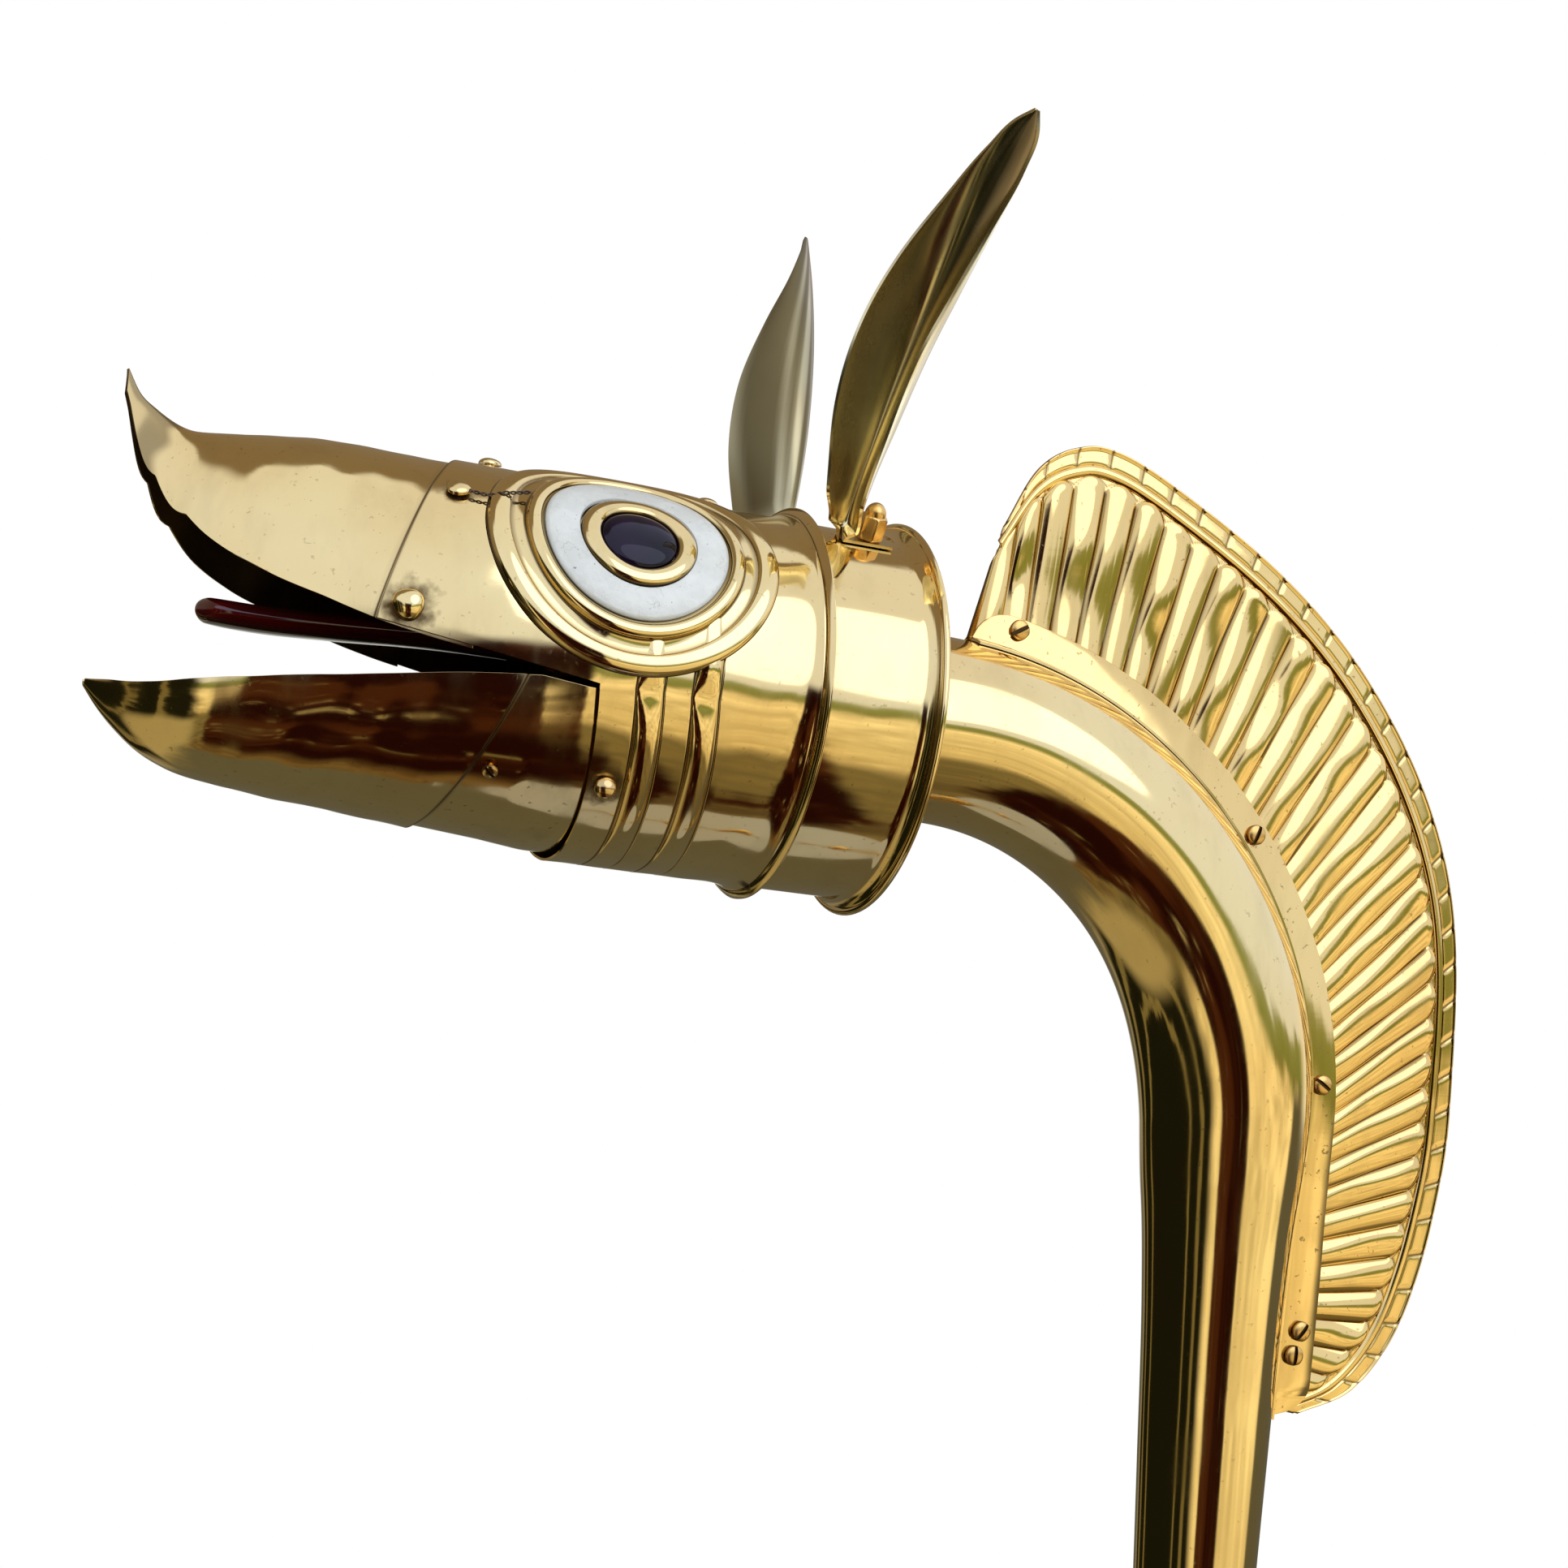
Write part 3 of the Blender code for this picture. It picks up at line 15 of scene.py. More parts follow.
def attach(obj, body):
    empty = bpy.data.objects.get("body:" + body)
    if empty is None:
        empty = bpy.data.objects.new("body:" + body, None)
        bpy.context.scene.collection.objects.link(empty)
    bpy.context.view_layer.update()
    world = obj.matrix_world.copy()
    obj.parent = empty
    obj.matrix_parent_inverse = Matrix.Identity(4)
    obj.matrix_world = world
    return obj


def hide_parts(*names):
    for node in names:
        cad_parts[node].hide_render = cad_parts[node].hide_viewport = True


bl_info = {
    "name": "Carnyx",
    "version": (1, 0, 0),
    "blender": (4, 5, 0),
    "location": "View3D > Sidebar > Carnyx",
    "description": "An upright war horn in polished brass, with a beast's head, ears and a reeded crest",
    "category": "Add Mesh",
}

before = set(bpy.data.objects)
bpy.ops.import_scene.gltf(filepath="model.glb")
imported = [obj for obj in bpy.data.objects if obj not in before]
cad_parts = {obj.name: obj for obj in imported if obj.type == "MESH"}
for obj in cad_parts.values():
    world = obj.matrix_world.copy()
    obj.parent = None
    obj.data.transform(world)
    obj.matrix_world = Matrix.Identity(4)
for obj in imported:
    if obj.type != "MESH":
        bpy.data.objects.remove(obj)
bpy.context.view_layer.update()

# The frame's own places, in metres and degrees
PITCH = math.radians(3.1)
HEAD_Z = 1.000
HEAD_RADIUS = 0.075
BEND_RADIUS = 0.160
BEND_START = 0.027
REAR_X = -(BEND_RADIUS + BEND_START * math.cos(PITCH) - BEND_RADIUS * math.sin(PITCH))
SHEET = 0.0010
TUBE_WALL = 0.0012
LAP = 0.0016
FIT = 0.0003
WELD = 0.0000015
SOFT_EDGE = 0.00028
THROAT_FRONT = -0.1375
SHELL_RIM_X = -0.0476
FLARE_X = -0.066
RIM_RADIUS = 0.0801
LAP_X = -0.2205
JAW_LOFT_END = -0.158
BEADS = (-0.118, -0.096)
BEAD_HALF = 0.0048
ROLL_X, ROLL_HALF = -0.0491, 0.0015
LIP_FRONT = 3.4
LIP_REAR = -6.5
HINGE_X, HINGE_ANGLE = -0.1270, -38.0
EYE_X, EYE_ANGLE = -0.1260, 38.6
STUD_X, STUD_ANGLE = -0.0232, 64.0
MIDDLE_END_Z, MIDDLE_END_RADIUS = 0.130, 0.0155
LOWER_END_Z, LOWER_END_RADIUS = -0.270, 0.0085
FLOOR_Z = -0.3148
SIDES = (("left", -1), ("right", 1))


def length(name, text, value):
    """A length that the panel shows."""
    return bpy.props.FloatProperty(name=name, description=text, default=value, unit="LENGTH")


def number(name, text, value):
    """A whole number that the panel shows."""
    return bpy.props.IntProperty(name=name, description=text, default=value)


def colour(name, text, value):
    """A colour that the panel shows."""
    return bpy.props.FloatVectorProperty(name=name, description=text, subtype="COLOR", size=3, default=value)


class CarnyxSizes(bpy.types.PropertyGroup):
    """Sizes that may be changed without leaving the frame."""
    head_radius: length("Head radius", "Radius of the head's barrel", HEAD_RADIUS)
    bead_height: length("Bead height", "How far the barrel's beads stand out", 0.0022)
    hammering: length("Hammering", "Unevenness left in the sheet by hand work", 0.00011)
    reeds: number("Reeds", "Number of reeds in the crest", 36)
    reed_depth: length("Reed depth", "How deep each reed is pressed", 0.0024)
    ear_length: length("Ear length", "Length of an ear from its bend to its tip", 0.182)
    steps: number("Steps", "Sides of a turned piece", 72)


class CarnyxFinish(bpy.types.PropertyGroup):
    """Colours and polish."""
    brass: colour("Brass", "Polished yellow brass", (0.93, 0.72, 0.32))
    gold: colour("Gold brass", "Warmer brass of the crest and fittings", (0.93, 0.66, 0.24))
    nut: colour("Fastener brass", "Orange brass of nuts and screws", (0.82, 0.50, 0.15))
    enamel: colour("Enamel", "Pale glassy white of the eye ring", (0.95, 0.94, 0.76))
    tongue: colour("Tongue", "Dark red lacquer", (0.16, 0.004, 0.004))
    polish: bpy.props.FloatProperty(
        name="Polish", description="Roughness of the polished sheet", default=0.07, min=0.0, max=1.0)


def sizes():
    """The scene's sizes."""
    return bpy.context.scene.carnyx_sizes


def finishes():
    """The scene's colours."""
    return bpy.context.scene.carnyx_finish


# Numbers and meshes

def curve(x, stations):
    """A smooth line through (place, value) stations: cubic pieces that share their slopes."""
    table = np.array(stations, float)
    xs, ys = table[:, 0], table[:, 1]
    slope = np.gradient(ys, xs)
    x = np.clip(x, xs[0], xs[-1])
    i = np.clip(np.searchsorted(xs, x) - 1, 0, len(xs) - 2)
    h = xs[i + 1] - xs[i]
    t = (x - xs[i]) / h
    return ((2 * t**3 - 3 * t**2 + 1) * ys[i] + (t**3 - 2 * t**2 + t) * h * slope[i]
            + (3 * t**2 - 2 * t**3) * ys[i + 1] + (t**3 - t**2) * h * slope[i + 1])


def held(t):
    """A number held between 0 and 1."""
    return np.clip(t, 0, 1)


def root(t):
    """The square root of a number held between 0 and 1."""
    return np.sqrt(held(t))


def bell(t):
    """exp(-t^2), a smooth bump one wide."""
    return np.exp(-t**2)


def ease(t):
    """A step from 0 to 1 with level ends: 3 t^2 - 2 t^3."""
    t = held(t)
    return t * t * (3 - 2 * t)


def circle(count):
    """Even turns round a circle, in radians, the last one short of the first."""
    return np.linspace(0, math.tau, count, endpoint=False)


def joined(*parts):
    """The different values of several rows of numbers, in order."""
    return np.unique(np.concatenate(parts))


def unit(v):
    """Vectors along the last axis at length 1."""
    return v / np.linalg.norm(v, axis=-1, keepdims=True)


def moved(points, matrix):
    """Points turned and moved by a matrix."""
    m = np.array(matrix)
    return points @ m[:3, :3].T + m[:3, 3]


def tip_up(points):
    """Head frame to the row frame: turn by the pitch about Y, then move to the collar's rear rim."""
    x, y, z = points[..., 0], points[..., 1], points[..., 2]
    c, s = math.cos(PITCH), math.sin(PITCH)
    return np.stack([REAR_X + x * c + z * s, y, HEAD_Z - x * s + z * c], axis=-1)


def quads(rows, cols, wrap):
    """Corner numbers of the quads between the rows and columns of a grid."""
    i, j = np.meshgrid(np.arange(rows - 1), np.arange(cols if wrap else cols - 1), indexing="ij")
    k = (j + 1) % cols
    corners = [i * cols + j, i * cols + k, (i + 1) * cols + k, (i + 1) * cols + j]
    return np.stack(corners, axis=-1).reshape(-1, 4)


def mesh_of(name, verts, faces, wear_and_shade=None):
    """A mesh from arrays of corners and quads, with an optional per-corner darkness from 0 to 1 that also dulls:
    partly wear and dark joints, partly painted shade in grooves, creases and hollows.
    """
    mesh = bpy.data.meshes.new(name)
    mesh.vertices.add(verts.size // 3)
    mesh.vertices.foreach_set("co", np.ascontiguousarray(verts, np.float32).ravel())
    mesh.loops.add(faces.size)
    mesh.loops.foreach_set("vertex_index", np.ascontiguousarray(faces, np.int32).ravel())
    mesh.polygons.add(len(faces))
    mesh.polygons.foreach_set("loop_start", np.arange(0, faces.size, 4, dtype=np.int32))
    mesh.update(calc_edges=True)
    if wear_and_shade is not None:
        layer = mesh.attributes.new("wear_and_shade", "FLOAT", "POINT")
        layer.data.foreach_set("value", np.ascontiguousarray(held(wear_and_shade), np.float32).ravel())
    return mesh


def grid_mesh(name, grid, wrap, wear_and_shade=None):
    """A mesh of quads over a grid of points."""
    return mesh_of(name, grid, quads(*grid.shape[:2], wrap), wear_and_shade)


def closed(meshes, fill=False):
    """Join meshes in the first, merge seams and poles or fill open ends, and face it outwards."""
    bm = bmesh.new()
    for mesh in meshes:
        bm.from_mesh(mesh)
    for mesh in meshes[1:]:
        bpy.data.meshes.remove(mesh)
    if fill:
        bmesh.ops.holes_fill(bm, edges=[e for e in bm.edges if e.is_boundary])
    else:
        bmesh.ops.remove_doubles(bm, verts=bm.verts, dist=WELD)
    bmesh.ops.recalc_face_normals(bm, faces=bm.faces)
    bm.to_mesh(meshes[0])
    bm.free()
    return meshes[0]


def add(name, mesh, material, angle=40.0):
    """Link a finished mesh as the named piece."""
    piece = bpy.data.objects.new(name, mesh)
    bpy.context.scene.collection.objects.link(piece)
    mesh.materials.append(MATERIALS[material])
    mesh.shade_smooth()
    mesh.set_sharp_from_angle(angle=math.radians(angle))
    return piece


def thicken(piece, wall, edge=SOFT_EDGE, lined=False):
    """The sheet's thickness, outwards where the wall is positive, its inside painted near black as shade and a soft
    edge.
    """
    solid = piece.modifiers.new("sheet", "SOLIDIFY")
    solid.thickness = abs(wall)
    solid.offset = math.copysign(1.0, wall)
    solid.use_even_offset = True
    solid.use_quality_normals = True
    if lined:
        # Painted shade: the inner faces, and the rim on outward sheets, take the near-black lining.
        inner, outer = MATERIALS["inside"], piece.data.materials[0]
        piece.data.materials.clear()
        for material in (inner, outer) if wall > 0 else (outer, inner):
            piece.data.materials.append(material)
        solid.material_offset = 1
        solid.material_offset_rim = 1 if wall > 0 else 0
    if edge:
        soft = piece.modifiers.new("edge", "BEVEL")
        soft.width = edge
        soft.segments = 2
        soft.limit_method = "ANGLE"
        soft.angle_limit = math.radians(60)
        soft.harden_normals = True
    return piece


def sheet_piece(name, grid, material, wall, wrap=False, flip=False, edge=SOFT_EDGE, wear_and_shade=None, lined=False):
    """An open surface through a grid of points, given its sheet and soft edges."""
    faces = quads(*grid.shape[:2], wrap)
    if flip:
        faces = faces[:, ::-1]
    return thicken(add(name, mesh_of(name, grid, faces, wear_and_shade), material), wall, edge, lined)


def solid_piece(name, grid, material, angle=40.0, wear_and_shade=None):
    """A closed surface through a grid whose ends meet."""
    return add(name, closed([grid_mesh(name, grid, True, wear_and_shade)]), material, angle)


def end_caps(grid):
    """A grid with a row at each end drawn in to its middle."""
    caps = [np.repeat(row.mean(axis=0)[None, None], grid.shape[1], axis=1) for row in (grid[0], grid[-1])]
    return np.concatenate([caps[0], grid, caps[1]])


def softened(profile, radius):
    """A closed profile with each corner cut to three points that round it off."""
    p = np.array(profile, float)
    before = np.roll(p, 1, axis=0) - p
    after = np.roll(p, -1, axis=0) - p
    lb = np.linalg.norm(before, axis=1, keepdims=True)
    la = np.linalg.norm(after, axis=1, keepdims=True)
    a = p + before / lb * np.minimum(radius, lb * 0.4)
    b = p + after / la * np.minimum(radius, la * 0.4)
    middle = (a + b) / 4 + p / 2
    return np.stack([a, middle, b], axis=1).reshape(-1, 2)


def turned_grid(profile, steps, matrix=None):
    """A closed (radius, height) profile spun about Z: (r cos t, r sin t, h), then placed by a matrix."""
    loop = np.concatenate([profile, profile[:1]])
    turn = circle(steps)
    r, h = loop[:, :1], loop[:, 1:]
    points = np.stack([r * np.cos(turn), r * np.sin(turn), h + 0 * turn], axis=-1)
    return points if matrix is None else moved(points, matrix)


def domed(radius, height, base=0.0, end=1.5, steps=12):
    """A dome's profile from its top down: (r sin t, base + h cos t)."""
    return [(radius * math.sin(t), base + height * math.cos(t)) for t in np.linspace(0, end, steps)]


def standing(point, direction, hint=(1, 0, 0)):
    """A matrix at a point whose Z runs along a direction and X near the hint."""
    z = Vector(direction).normalized()
    x = Vector(hint)
    x = (x - z * x.dot(z)).normalized()
    return Matrix.Translation(Vector(point)) @ Matrix((x, z.cross(x), z)).transposed().to_4x4()


def in_head(matrix):
    """A head-frame matrix taken to the row frame."""
    return Matrix.Translation((REAR_X, 0, HEAD_Z)) @ Matrix.Rotation(PITCH, 4, "Y") @ matrix


def settle(piece, body, slot, *nodes):
    """Ride on a body and stand for the CAD nodes it replaces; the slot is not used."""
    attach(piece, body)
    if nodes:
        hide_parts(*nodes)
    return piece


# Finishes

GROUPS = {}
MATERIALS = {}


class Value:
    """A value in a node tree. Sums on it add the nodes that work them out, so a formula reads as one."""

    def __init__(self, tree, socket):
        self.tree, self.socket = tree, socket

    def into(self, socket):
        """Link this value to a socket."""
        self.tree.links.new(self.socket, socket)

    def node(self, kind, inputs, output=0, **settings):
        """The output of a new node in the same tree."""
        return Value(self.tree, new_node(self.tree, kind, inputs, **settings).outputs[output])

    def maths(self, operation, other=0.0, clamp=False):
        """One sum on this value and another."""
        return self.node("Math", {0: self, 1: other}, operation=operation, use_clamp=clamp)

    def __add__(self, other):
        return self.maths("ADD", other)

    def __sub__(self, other):
        return self.maths("SUBTRACT", other)

    def __mul__(self, other):
        return self.maths("MULTIPLY", other)

    def __truediv__(self, other):
        return self.maths("DIVIDE", other)

    def __abs__(self):
        return self.maths("ABSOLUTE")

    def larger(self, other, clamp=False):
        """The larger of two values."""
        return self.maths("MAXIMUM", other, clamp)

    def step(self, low, high):
        """A smooth step from 0 at one value to 1 at the other."""
        return self.node("MapRange", {0: self, 1: low, 2: high}, interpolation_type="SMOOTHSTEP")

    def noise(self, scale, detail=3.0, rough=0.5, squeeze=None):
        """Noise at this place, drawn out along an axis where that is asked for."""
        place = self.node("Mapping", {"Vector": self, "Scale": squeeze}) if squeeze else self
        inputs = {"Vector": place, "Scale": scale, "Detail": detail, "Roughness": rough}
        return place.node("TexNoise", inputs, "Fac")


def new_node(tree, kind, inputs=(), **settings):
    """A node with its settings, and with values linked and plain numbers set on its inputs."""
    made = tree.nodes.new("ShaderNode" + kind)
    for label, value in settings.items():
        setattr(made, label, value)
    for label, value in dict(inputs).items():
        if isinstance(value, Value):
            value.into(made.inputs[label])
        else:
            made.inputs[label].default_value = value
    return made


def blend(share, first, second):
    """Two colours mixed by a share."""
    return share.node("Mix", {0: share, 6: first, 7: second}, 2, data_type="RGBA")


def socket_group(name, inputs, outputs):
    """A shader group with named inputs and outputs."""
    tree = bpy.data.node_groups.new(name, "ShaderNodeTree")
    for label, kind, value in inputs:
        socket = tree.interface.new_socket(name=label, in_out="INPUT", socket_type="NodeSocket" + kind)
        socket.default_value = value
    for label, kind in outputs:
        tree.interface.new_socket(name=label, in_out="OUTPUT", socket_type="NodeSocket" + kind)
    given = {socket.name: Value(tree, socket) for socket in tree.nodes.new("NodeGroupInput").outputs}
    return tree, given, tree.nodes.new("NodeGroupOutput").inputs


def worked_brass_group():
    """Polished sheet metal: slow tint, smears, fine tarnished specks, polishing lines and shallow dents; its dark
    colour also serves as painted shade.
    """
    tree, given, out = socket_group("worked_brass", [
        ("Vector", "Vector", (0, 0, 0)), ("Metal", "Color", (0.9, 0.7, 0.3, 1)),
        ("Tarnish", "Color", (0.35, 0.2, 0.06, 1)), ("Polish", "Float", 0.07), ("Stain", "Float", 0.3),
        ("Age", "Float", 0.0)], [("Color", "Color"), ("Roughness", "Float"), ("Height", "Float")])
    place = given["Vector"]
    tint = place.noise(14.0).step(0.35, 0.7)
    smear = place.noise(55.0, 5.0, 0.6, (1.0, 1.0, 0.35)).step(0.45, 0.75)
    specks = place.noise(420.0, 2.0).step(0.66, 0.74)
    lines = place.noise(300.0, 2.0, 0.5, (0.04, 1.0, 1.0))
    warm = blend(tint * 0.35, given["Metal"], (0.80, 0.50, 0.17, 1))
    # The dark colour goes on smears and specks, and wherever the second mask is high; that mask holds real marks
    # and painted shade.
    share = ((smear * 0.35).larger(specks) * given["Stain"]).larger(given["Age"], True)
    blend(share, warm, given["Tarnish"]).into(out["Color"])
    (given["Polish"] + smear * 0.05).maths("ADD", share * 0.30, True).into(out["Roughness"])
    (place.noise(34.0, 1.0) + lines * 0.02).into(out["Height"])
    return tree


def halo_group():
    """A ragged dark ring round a point, used for stains and for painted shade: 1 at the point, 0 beyond its reach.
    """
    tree, given, out = socket_group("halo", [("Vector", "Vector", (0, 0, 0)), ("Centre", "Vector", (0, 0, 0)),
                                             ("Reach", "Float", 0.01)], [("Mask", "Float")])
    place = given["Vector"]
    away = place.node("VectorMath", {0: place, 1: given["Centre"]}, "Value", operation="DISTANCE")
    ragged = (place.noise(160.0, 4.0) - 0.5) * 1.4
    (ragged + 1.0 - away / given["Reach"]).maths("MULTIPLY", 1.6, True).into(out["Mask"])
    return tree


def put_group(place, group, **inputs):
    """The outputs of a group put in a material, as values."""
    made = new_node(place.tree, "Group", {"Vector": place, **inputs}, node_tree=GROUPS[group])
    return {socket.name: Value(place.tree, socket) for socket in made.outputs}


def new_material(name, **inputs):
    """A material: the sockets of its shader, its place in Object coordinates and its worn attribute."""
    material = bpy.data.materials.new(name)
    material.use_nodes = True
    tree = material.node_tree
    sockets = tree.nodes["Principled BSDF"].inputs
    for label, value in inputs.items():
        sockets[label.replace("_", " ")].default_value = value
    place = Value(tree, new_node(tree, "TexCoord").outputs["Object"])
    return material, sockets, place, place.node("Attribute", {}, "Fac", attribute_name="wear_and_shade")


def bump(sockets, height, strength, distance):
    """Let a height stir a shader's normal."""
    height.node("Bump", {"Strength": strength, "Distance": distance, "Height": height}).into(sockets["Normal"])


def brass_material(name, metal, tarnish_and_shade=(0.10, 0.055, 0.018), polish=None, stain=0.25, dents=0.25, halos=()):
    """Polished brass with its own tint; halos are (point, reach) dark rings, and the per-corner attribute darkens
    lines; both carry stains and painted shade in the dark colour.
    """
    material, sockets, place, stain_and_shade = new_material(name, Metallic=1.0)
    for point, reach in halos:
        stain_and_shade = put_group(place, "halo", Centre=tuple(point), Reach=reach)["Mask"].larger(stain_and_shade)
    made = put_group(place, "worked_brass", Metal=(*metal, 1), Tarnish=(*tarnish_and_shade, 1), Stain=stain, Age=stain_and_shade,
                     Polish=finishes().polish if polish is None else polish)
    made["Color"].into(sockets["Base Color"])
    made["Roughness"].into(sockets["Roughness"])
    bump(sockets, made["Height"], dents, 0.0006)
    return material


def enamel_material():
    """Pale glassy enamel with slow clouds, dark flecks, fine cracks and small pits."""
    material, sockets, place, wear_and_shade = new_material("eye_enamel", Roughness=0.30, Coat_Weight=0.5,
                                                  Coat_Roughness=0.04)
    clouds = place.noise(110.0, 5.0, 0.6).step(0.35, 0.7)
    flecks = place.noise(600.0, 2.0).step(0.70, 0.76)
    cracks = abs(place.noise(130.0, 3.0, 0.6) - 0.5).step(0.006, 0.0) * place.noise(70.0).step(0.52, 0.62)
    pale = finishes().enamel
    body = blend(clouds, (*(c * 0.90 for c in pale), 1), (*pale, 1))
    # Flecks and cracks are the enamel's own; the per-corner mask adds painted shade at its outer rim.
    marks = (flecks * 0.7).larger(cracks * 0.45).larger(wear_and_shade)
    blend(marks, body, (0.12, 0.14, 0.13, 1)).into(sockets["Base Color"])
    bump(sockets, clouds - cracks, 0.5, 0.0004)
    return material


def stone_material():
    """A near-black violet stone, polished, with a slow depth of colour."""
    material, sockets, place, _ = new_material("eye_stone", Roughness=0.04, Specular_IOR_Level=0.3)
    depth = place.noise(60.0).step(0.3, 0.7)
    blend(depth, (0.004, 0.002, 0.006, 1), (0.016, 0.006, 0.024, 1)).into(sockets["Base Color"])
    return material


def tongue_material():
    """Carved wood under dark red lacquer: the grain shows faintly along the tongue."""
    material, sockets, place, _ = new_material("tongue_lacquer", Coat_Weight=0.8, Coat_Roughness=0.04)
    grain = place.noise(90.0, 4.0, 0.6, (0.12, 1.0, 1.0))
    red = finishes().tongue
    blend(grain.step(0.35, 0.65), (red[0] * 0.45, red[1], red[2], 1), (*red, 1)).into(sockets["Base Color"])
    (place.noise(40.0).step(0.45, 0.75) * 0.12 + 0.12).into(sockets["Roughness"])
    bump(sockets, grain, 0.2, 0.0003)
    return material


def two_tone_material(name, rough, scale, low, high, first, second):
    """A dull material of two tones in a noise of one scale."""
    material, sockets, place, _ = new_material(name, Roughness=rough)
    share = place.noise(scale)
    blend(share if low is None else share.step(low, high), (*first, 1), (*second, 1)).into(sockets["Base Color"])
    return material


def make_materials():
    """Build the shared groups, then each finish."""
    GROUPS["worked_brass"] = worked_brass_group()
    GROUPS["halo"] = halo_group()
    look = finishes()
    rivets = [(head_place(x, angle, side), reach) for (_, x, angle, *_), reach in zip(RIVETS[:2], (0.0125, 0.0075))
              for _, side in SIDES]
    # Painted shade: a dark ring round each hinge screw stands for the shaded hole the screw sits in.
    hinge = [(head_place(HINGE_X, HINGE_ANGLE, side), 0.0095) for _, side in SIDES]
    crack = [(head_place(-0.0500, -76.0), 0.0050)]
    for stem, metal, more in (
            ("head", look.brass, {"halos": rivets + hinge + crack, "dents": 0.22}),
            ("snout", look.brass, {"halos": rivets[:2], "dents": 0.3, "stain": 0.3}),
            ("jaw", look.brass, {"dents": 0.35, "stain": 0.35}),
            ("jaw_band", look.brass, {"dents": 0.35, "stain": 0.5}),
            # Painted shade: a near-black brass lining for the sheets' inner faces, so the mouth and hollows read
            # dark.
            ("inside", (0.055, 0.038, 0.018), {"polish": 0.5, "dents": 0.3, "stain": 0.8}),
            ("collar", look.brass, {"dents": 0.2}),
            ("plate", look.brass, {"polish": 0.16, "stain": 0.5}),
            ("neck", look.brass, {}),
            ("tube", look.brass, {"dents": 0.1, "stain": 0.2}),
            ("fitting", look.gold, {"dents": 0.1, "stain": 0.3}),
            ("crest", look.gold, {"dents": 0.55, "stain": 0.45}),
            ("flange", look.gold, {"dents": 0.5, "stain": 0.5}),
            # Painted light: the ears take a paler brass so that light bounced in their hollows does not turn
            # orange.
            ("ear", (1.0, 0.90, 0.52), {"tarnish_and_shade": (0.14, 0.10, 0.035), "polish": 0.14, "dents": 0.3}),
            ("eye", look.brass, {"dents": 0.2, "stain": 0.35}),
            ("fastener", look.nut, {"polish": 0.26, "dents": 0.15, "stain": 0.5}),
            ("screw", (0.60, 0.43, 0.20), {"polish": 0.14, "dents": 0.2, "stain": 0.7}),
            ("rivet", look.brass, {"polish": 0.10, "dents": 0.2, "stain": 0.4})):
        MATERIALS[stem] = brass_material(stem + "_brass", metal, **more)
    MATERIALS["enamel"] = enamel_material()
    MATERIALS["stone"] = stone_material()
    MATERIALS["tongue"] = tongue_material()
    MATERIALS["wire"] = two_tone_material("brow_wire", 0.45, 500.0, 0.4, 0.65, (0.035, 0.026, 0.018),
                                          (0.13, 0.075, 0.03))
    MATERIALS["floor"] = two_tone_material("floor_paint", 0.6, 3.0, None, None, (0.52, 0.52, 0.51),
                                           (0.56, 0.56, 0.55))


# Head and jaw

WIDTH = ((-0.314, 0.0105), (-0.307, 0.0130), (-0.300, 0.0190), (-0.288, 0.0305), (-0.270, 0.0440), (-0.245, 0.0525),
         (-0.215, 0.0598), (-0.180, 0.0690), (THROAT_FRONT, HEAD_RADIUS))
CROWN = ((-0.314, 0.0900), (-0.309, 0.0822), (-0.302, 0.0765), (-0.290, 0.0712), (-0.270, 0.0727), (-0.243, 0.0757),
         (-0.190, 0.0754), (THROAT_FRONT, HEAD_RADIUS))
LIP = ((-0.314, 64.0), (-0.309, 55.0), (-0.303, 44.0), (-0.294, 35.0), (-0.280, 22.0), (-0.262, 13.3),
       (-0.240, 7.6), (LAP_X, LIP_FRONT), (THROAT_FRONT, LIP_REAR))
JAW_WIDTH = ((-0.315, 0.0040), (-0.309, 0.0130), (-0.298, 0.0235), (-0.282, 0.0345), (-0.255, 0.0455),
             (-0.220, 0.0560), (-0.188, 0.0650), (JAW_LOFT_END, 0.0708))
JAW_RIM = ((-0.315, -0.0300), (-0.298, -0.0292), (-0.280, -0.0260), (-0.250, -0.0208), (-0.215, -0.0155),
           (-0.188, -0.0113), (JAW_LOFT_END, -0.0080))
JAW_KEEL = ((-0.315, -0.0325), (-0.310, -0.0385), (-0.298, -0.0500), (-0.282, -0.0588), (-0.262, -0.0625),
            (-0.220, -0.0663), (-0.188, -0.0692), (JAW_LOFT_END, -0.0716))


def head_point(x, angle, offset=0.0):
    """The head's skin: an ellipse whose half width and crown change along x; angle 0 is the left side."""
    a = np.radians(angle)
    width = curve(x, WIDTH) + offset
    up = np.where(np.sin(a) >= 0, curve(x, CROWN), sizes().head_radius) + offset
    return np.stack([x + 0 * a, -width * np.cos(a) + 0 * x, up * np.sin(a) + 0 * x], axis=-1)


def head_place(x, angle, side=-1):
    """A point of the head's skin in the row frame."""
    p = head_point(np.array(float(x)), np.array(float(angle)))
    p[..., 1] *= -side
    return tip_up(p)


def hammered(points, amount):
    """Sheet worked by hand: a sum of slow sines in x, y and z added outwards from the head's axis."""
    x, y, z = points[..., 0], points[..., 1], points[..., 2]
    wave = (np.sin(211 * x + 37 * y + 1.3) * np.sin(173 * z + 29 * y) + 0.7 * np.sin(331 * x - 90 * z + 0.4)
            * np.cos(241 * y + 0.9) + 0.5 * np.sin(97 * x + 140 * z + 2.2))
    out = np.stack([0 * x, y, z], axis=-1)
    out = out / np.maximum(np.linalg.norm(out, axis=-1, keepdims=True), 1e-6)
    return points + out * (amount * wave)[..., None]


def seam_x(angle):
    """The lap seam, slanting back towards the crown."""
    a = np.where(angle > 90, 180 - angle, angle)
    return LAP_X + 0.037 * held((a - LIP_FRONT) / (90 - LIP_FRONT)) ** 1.2


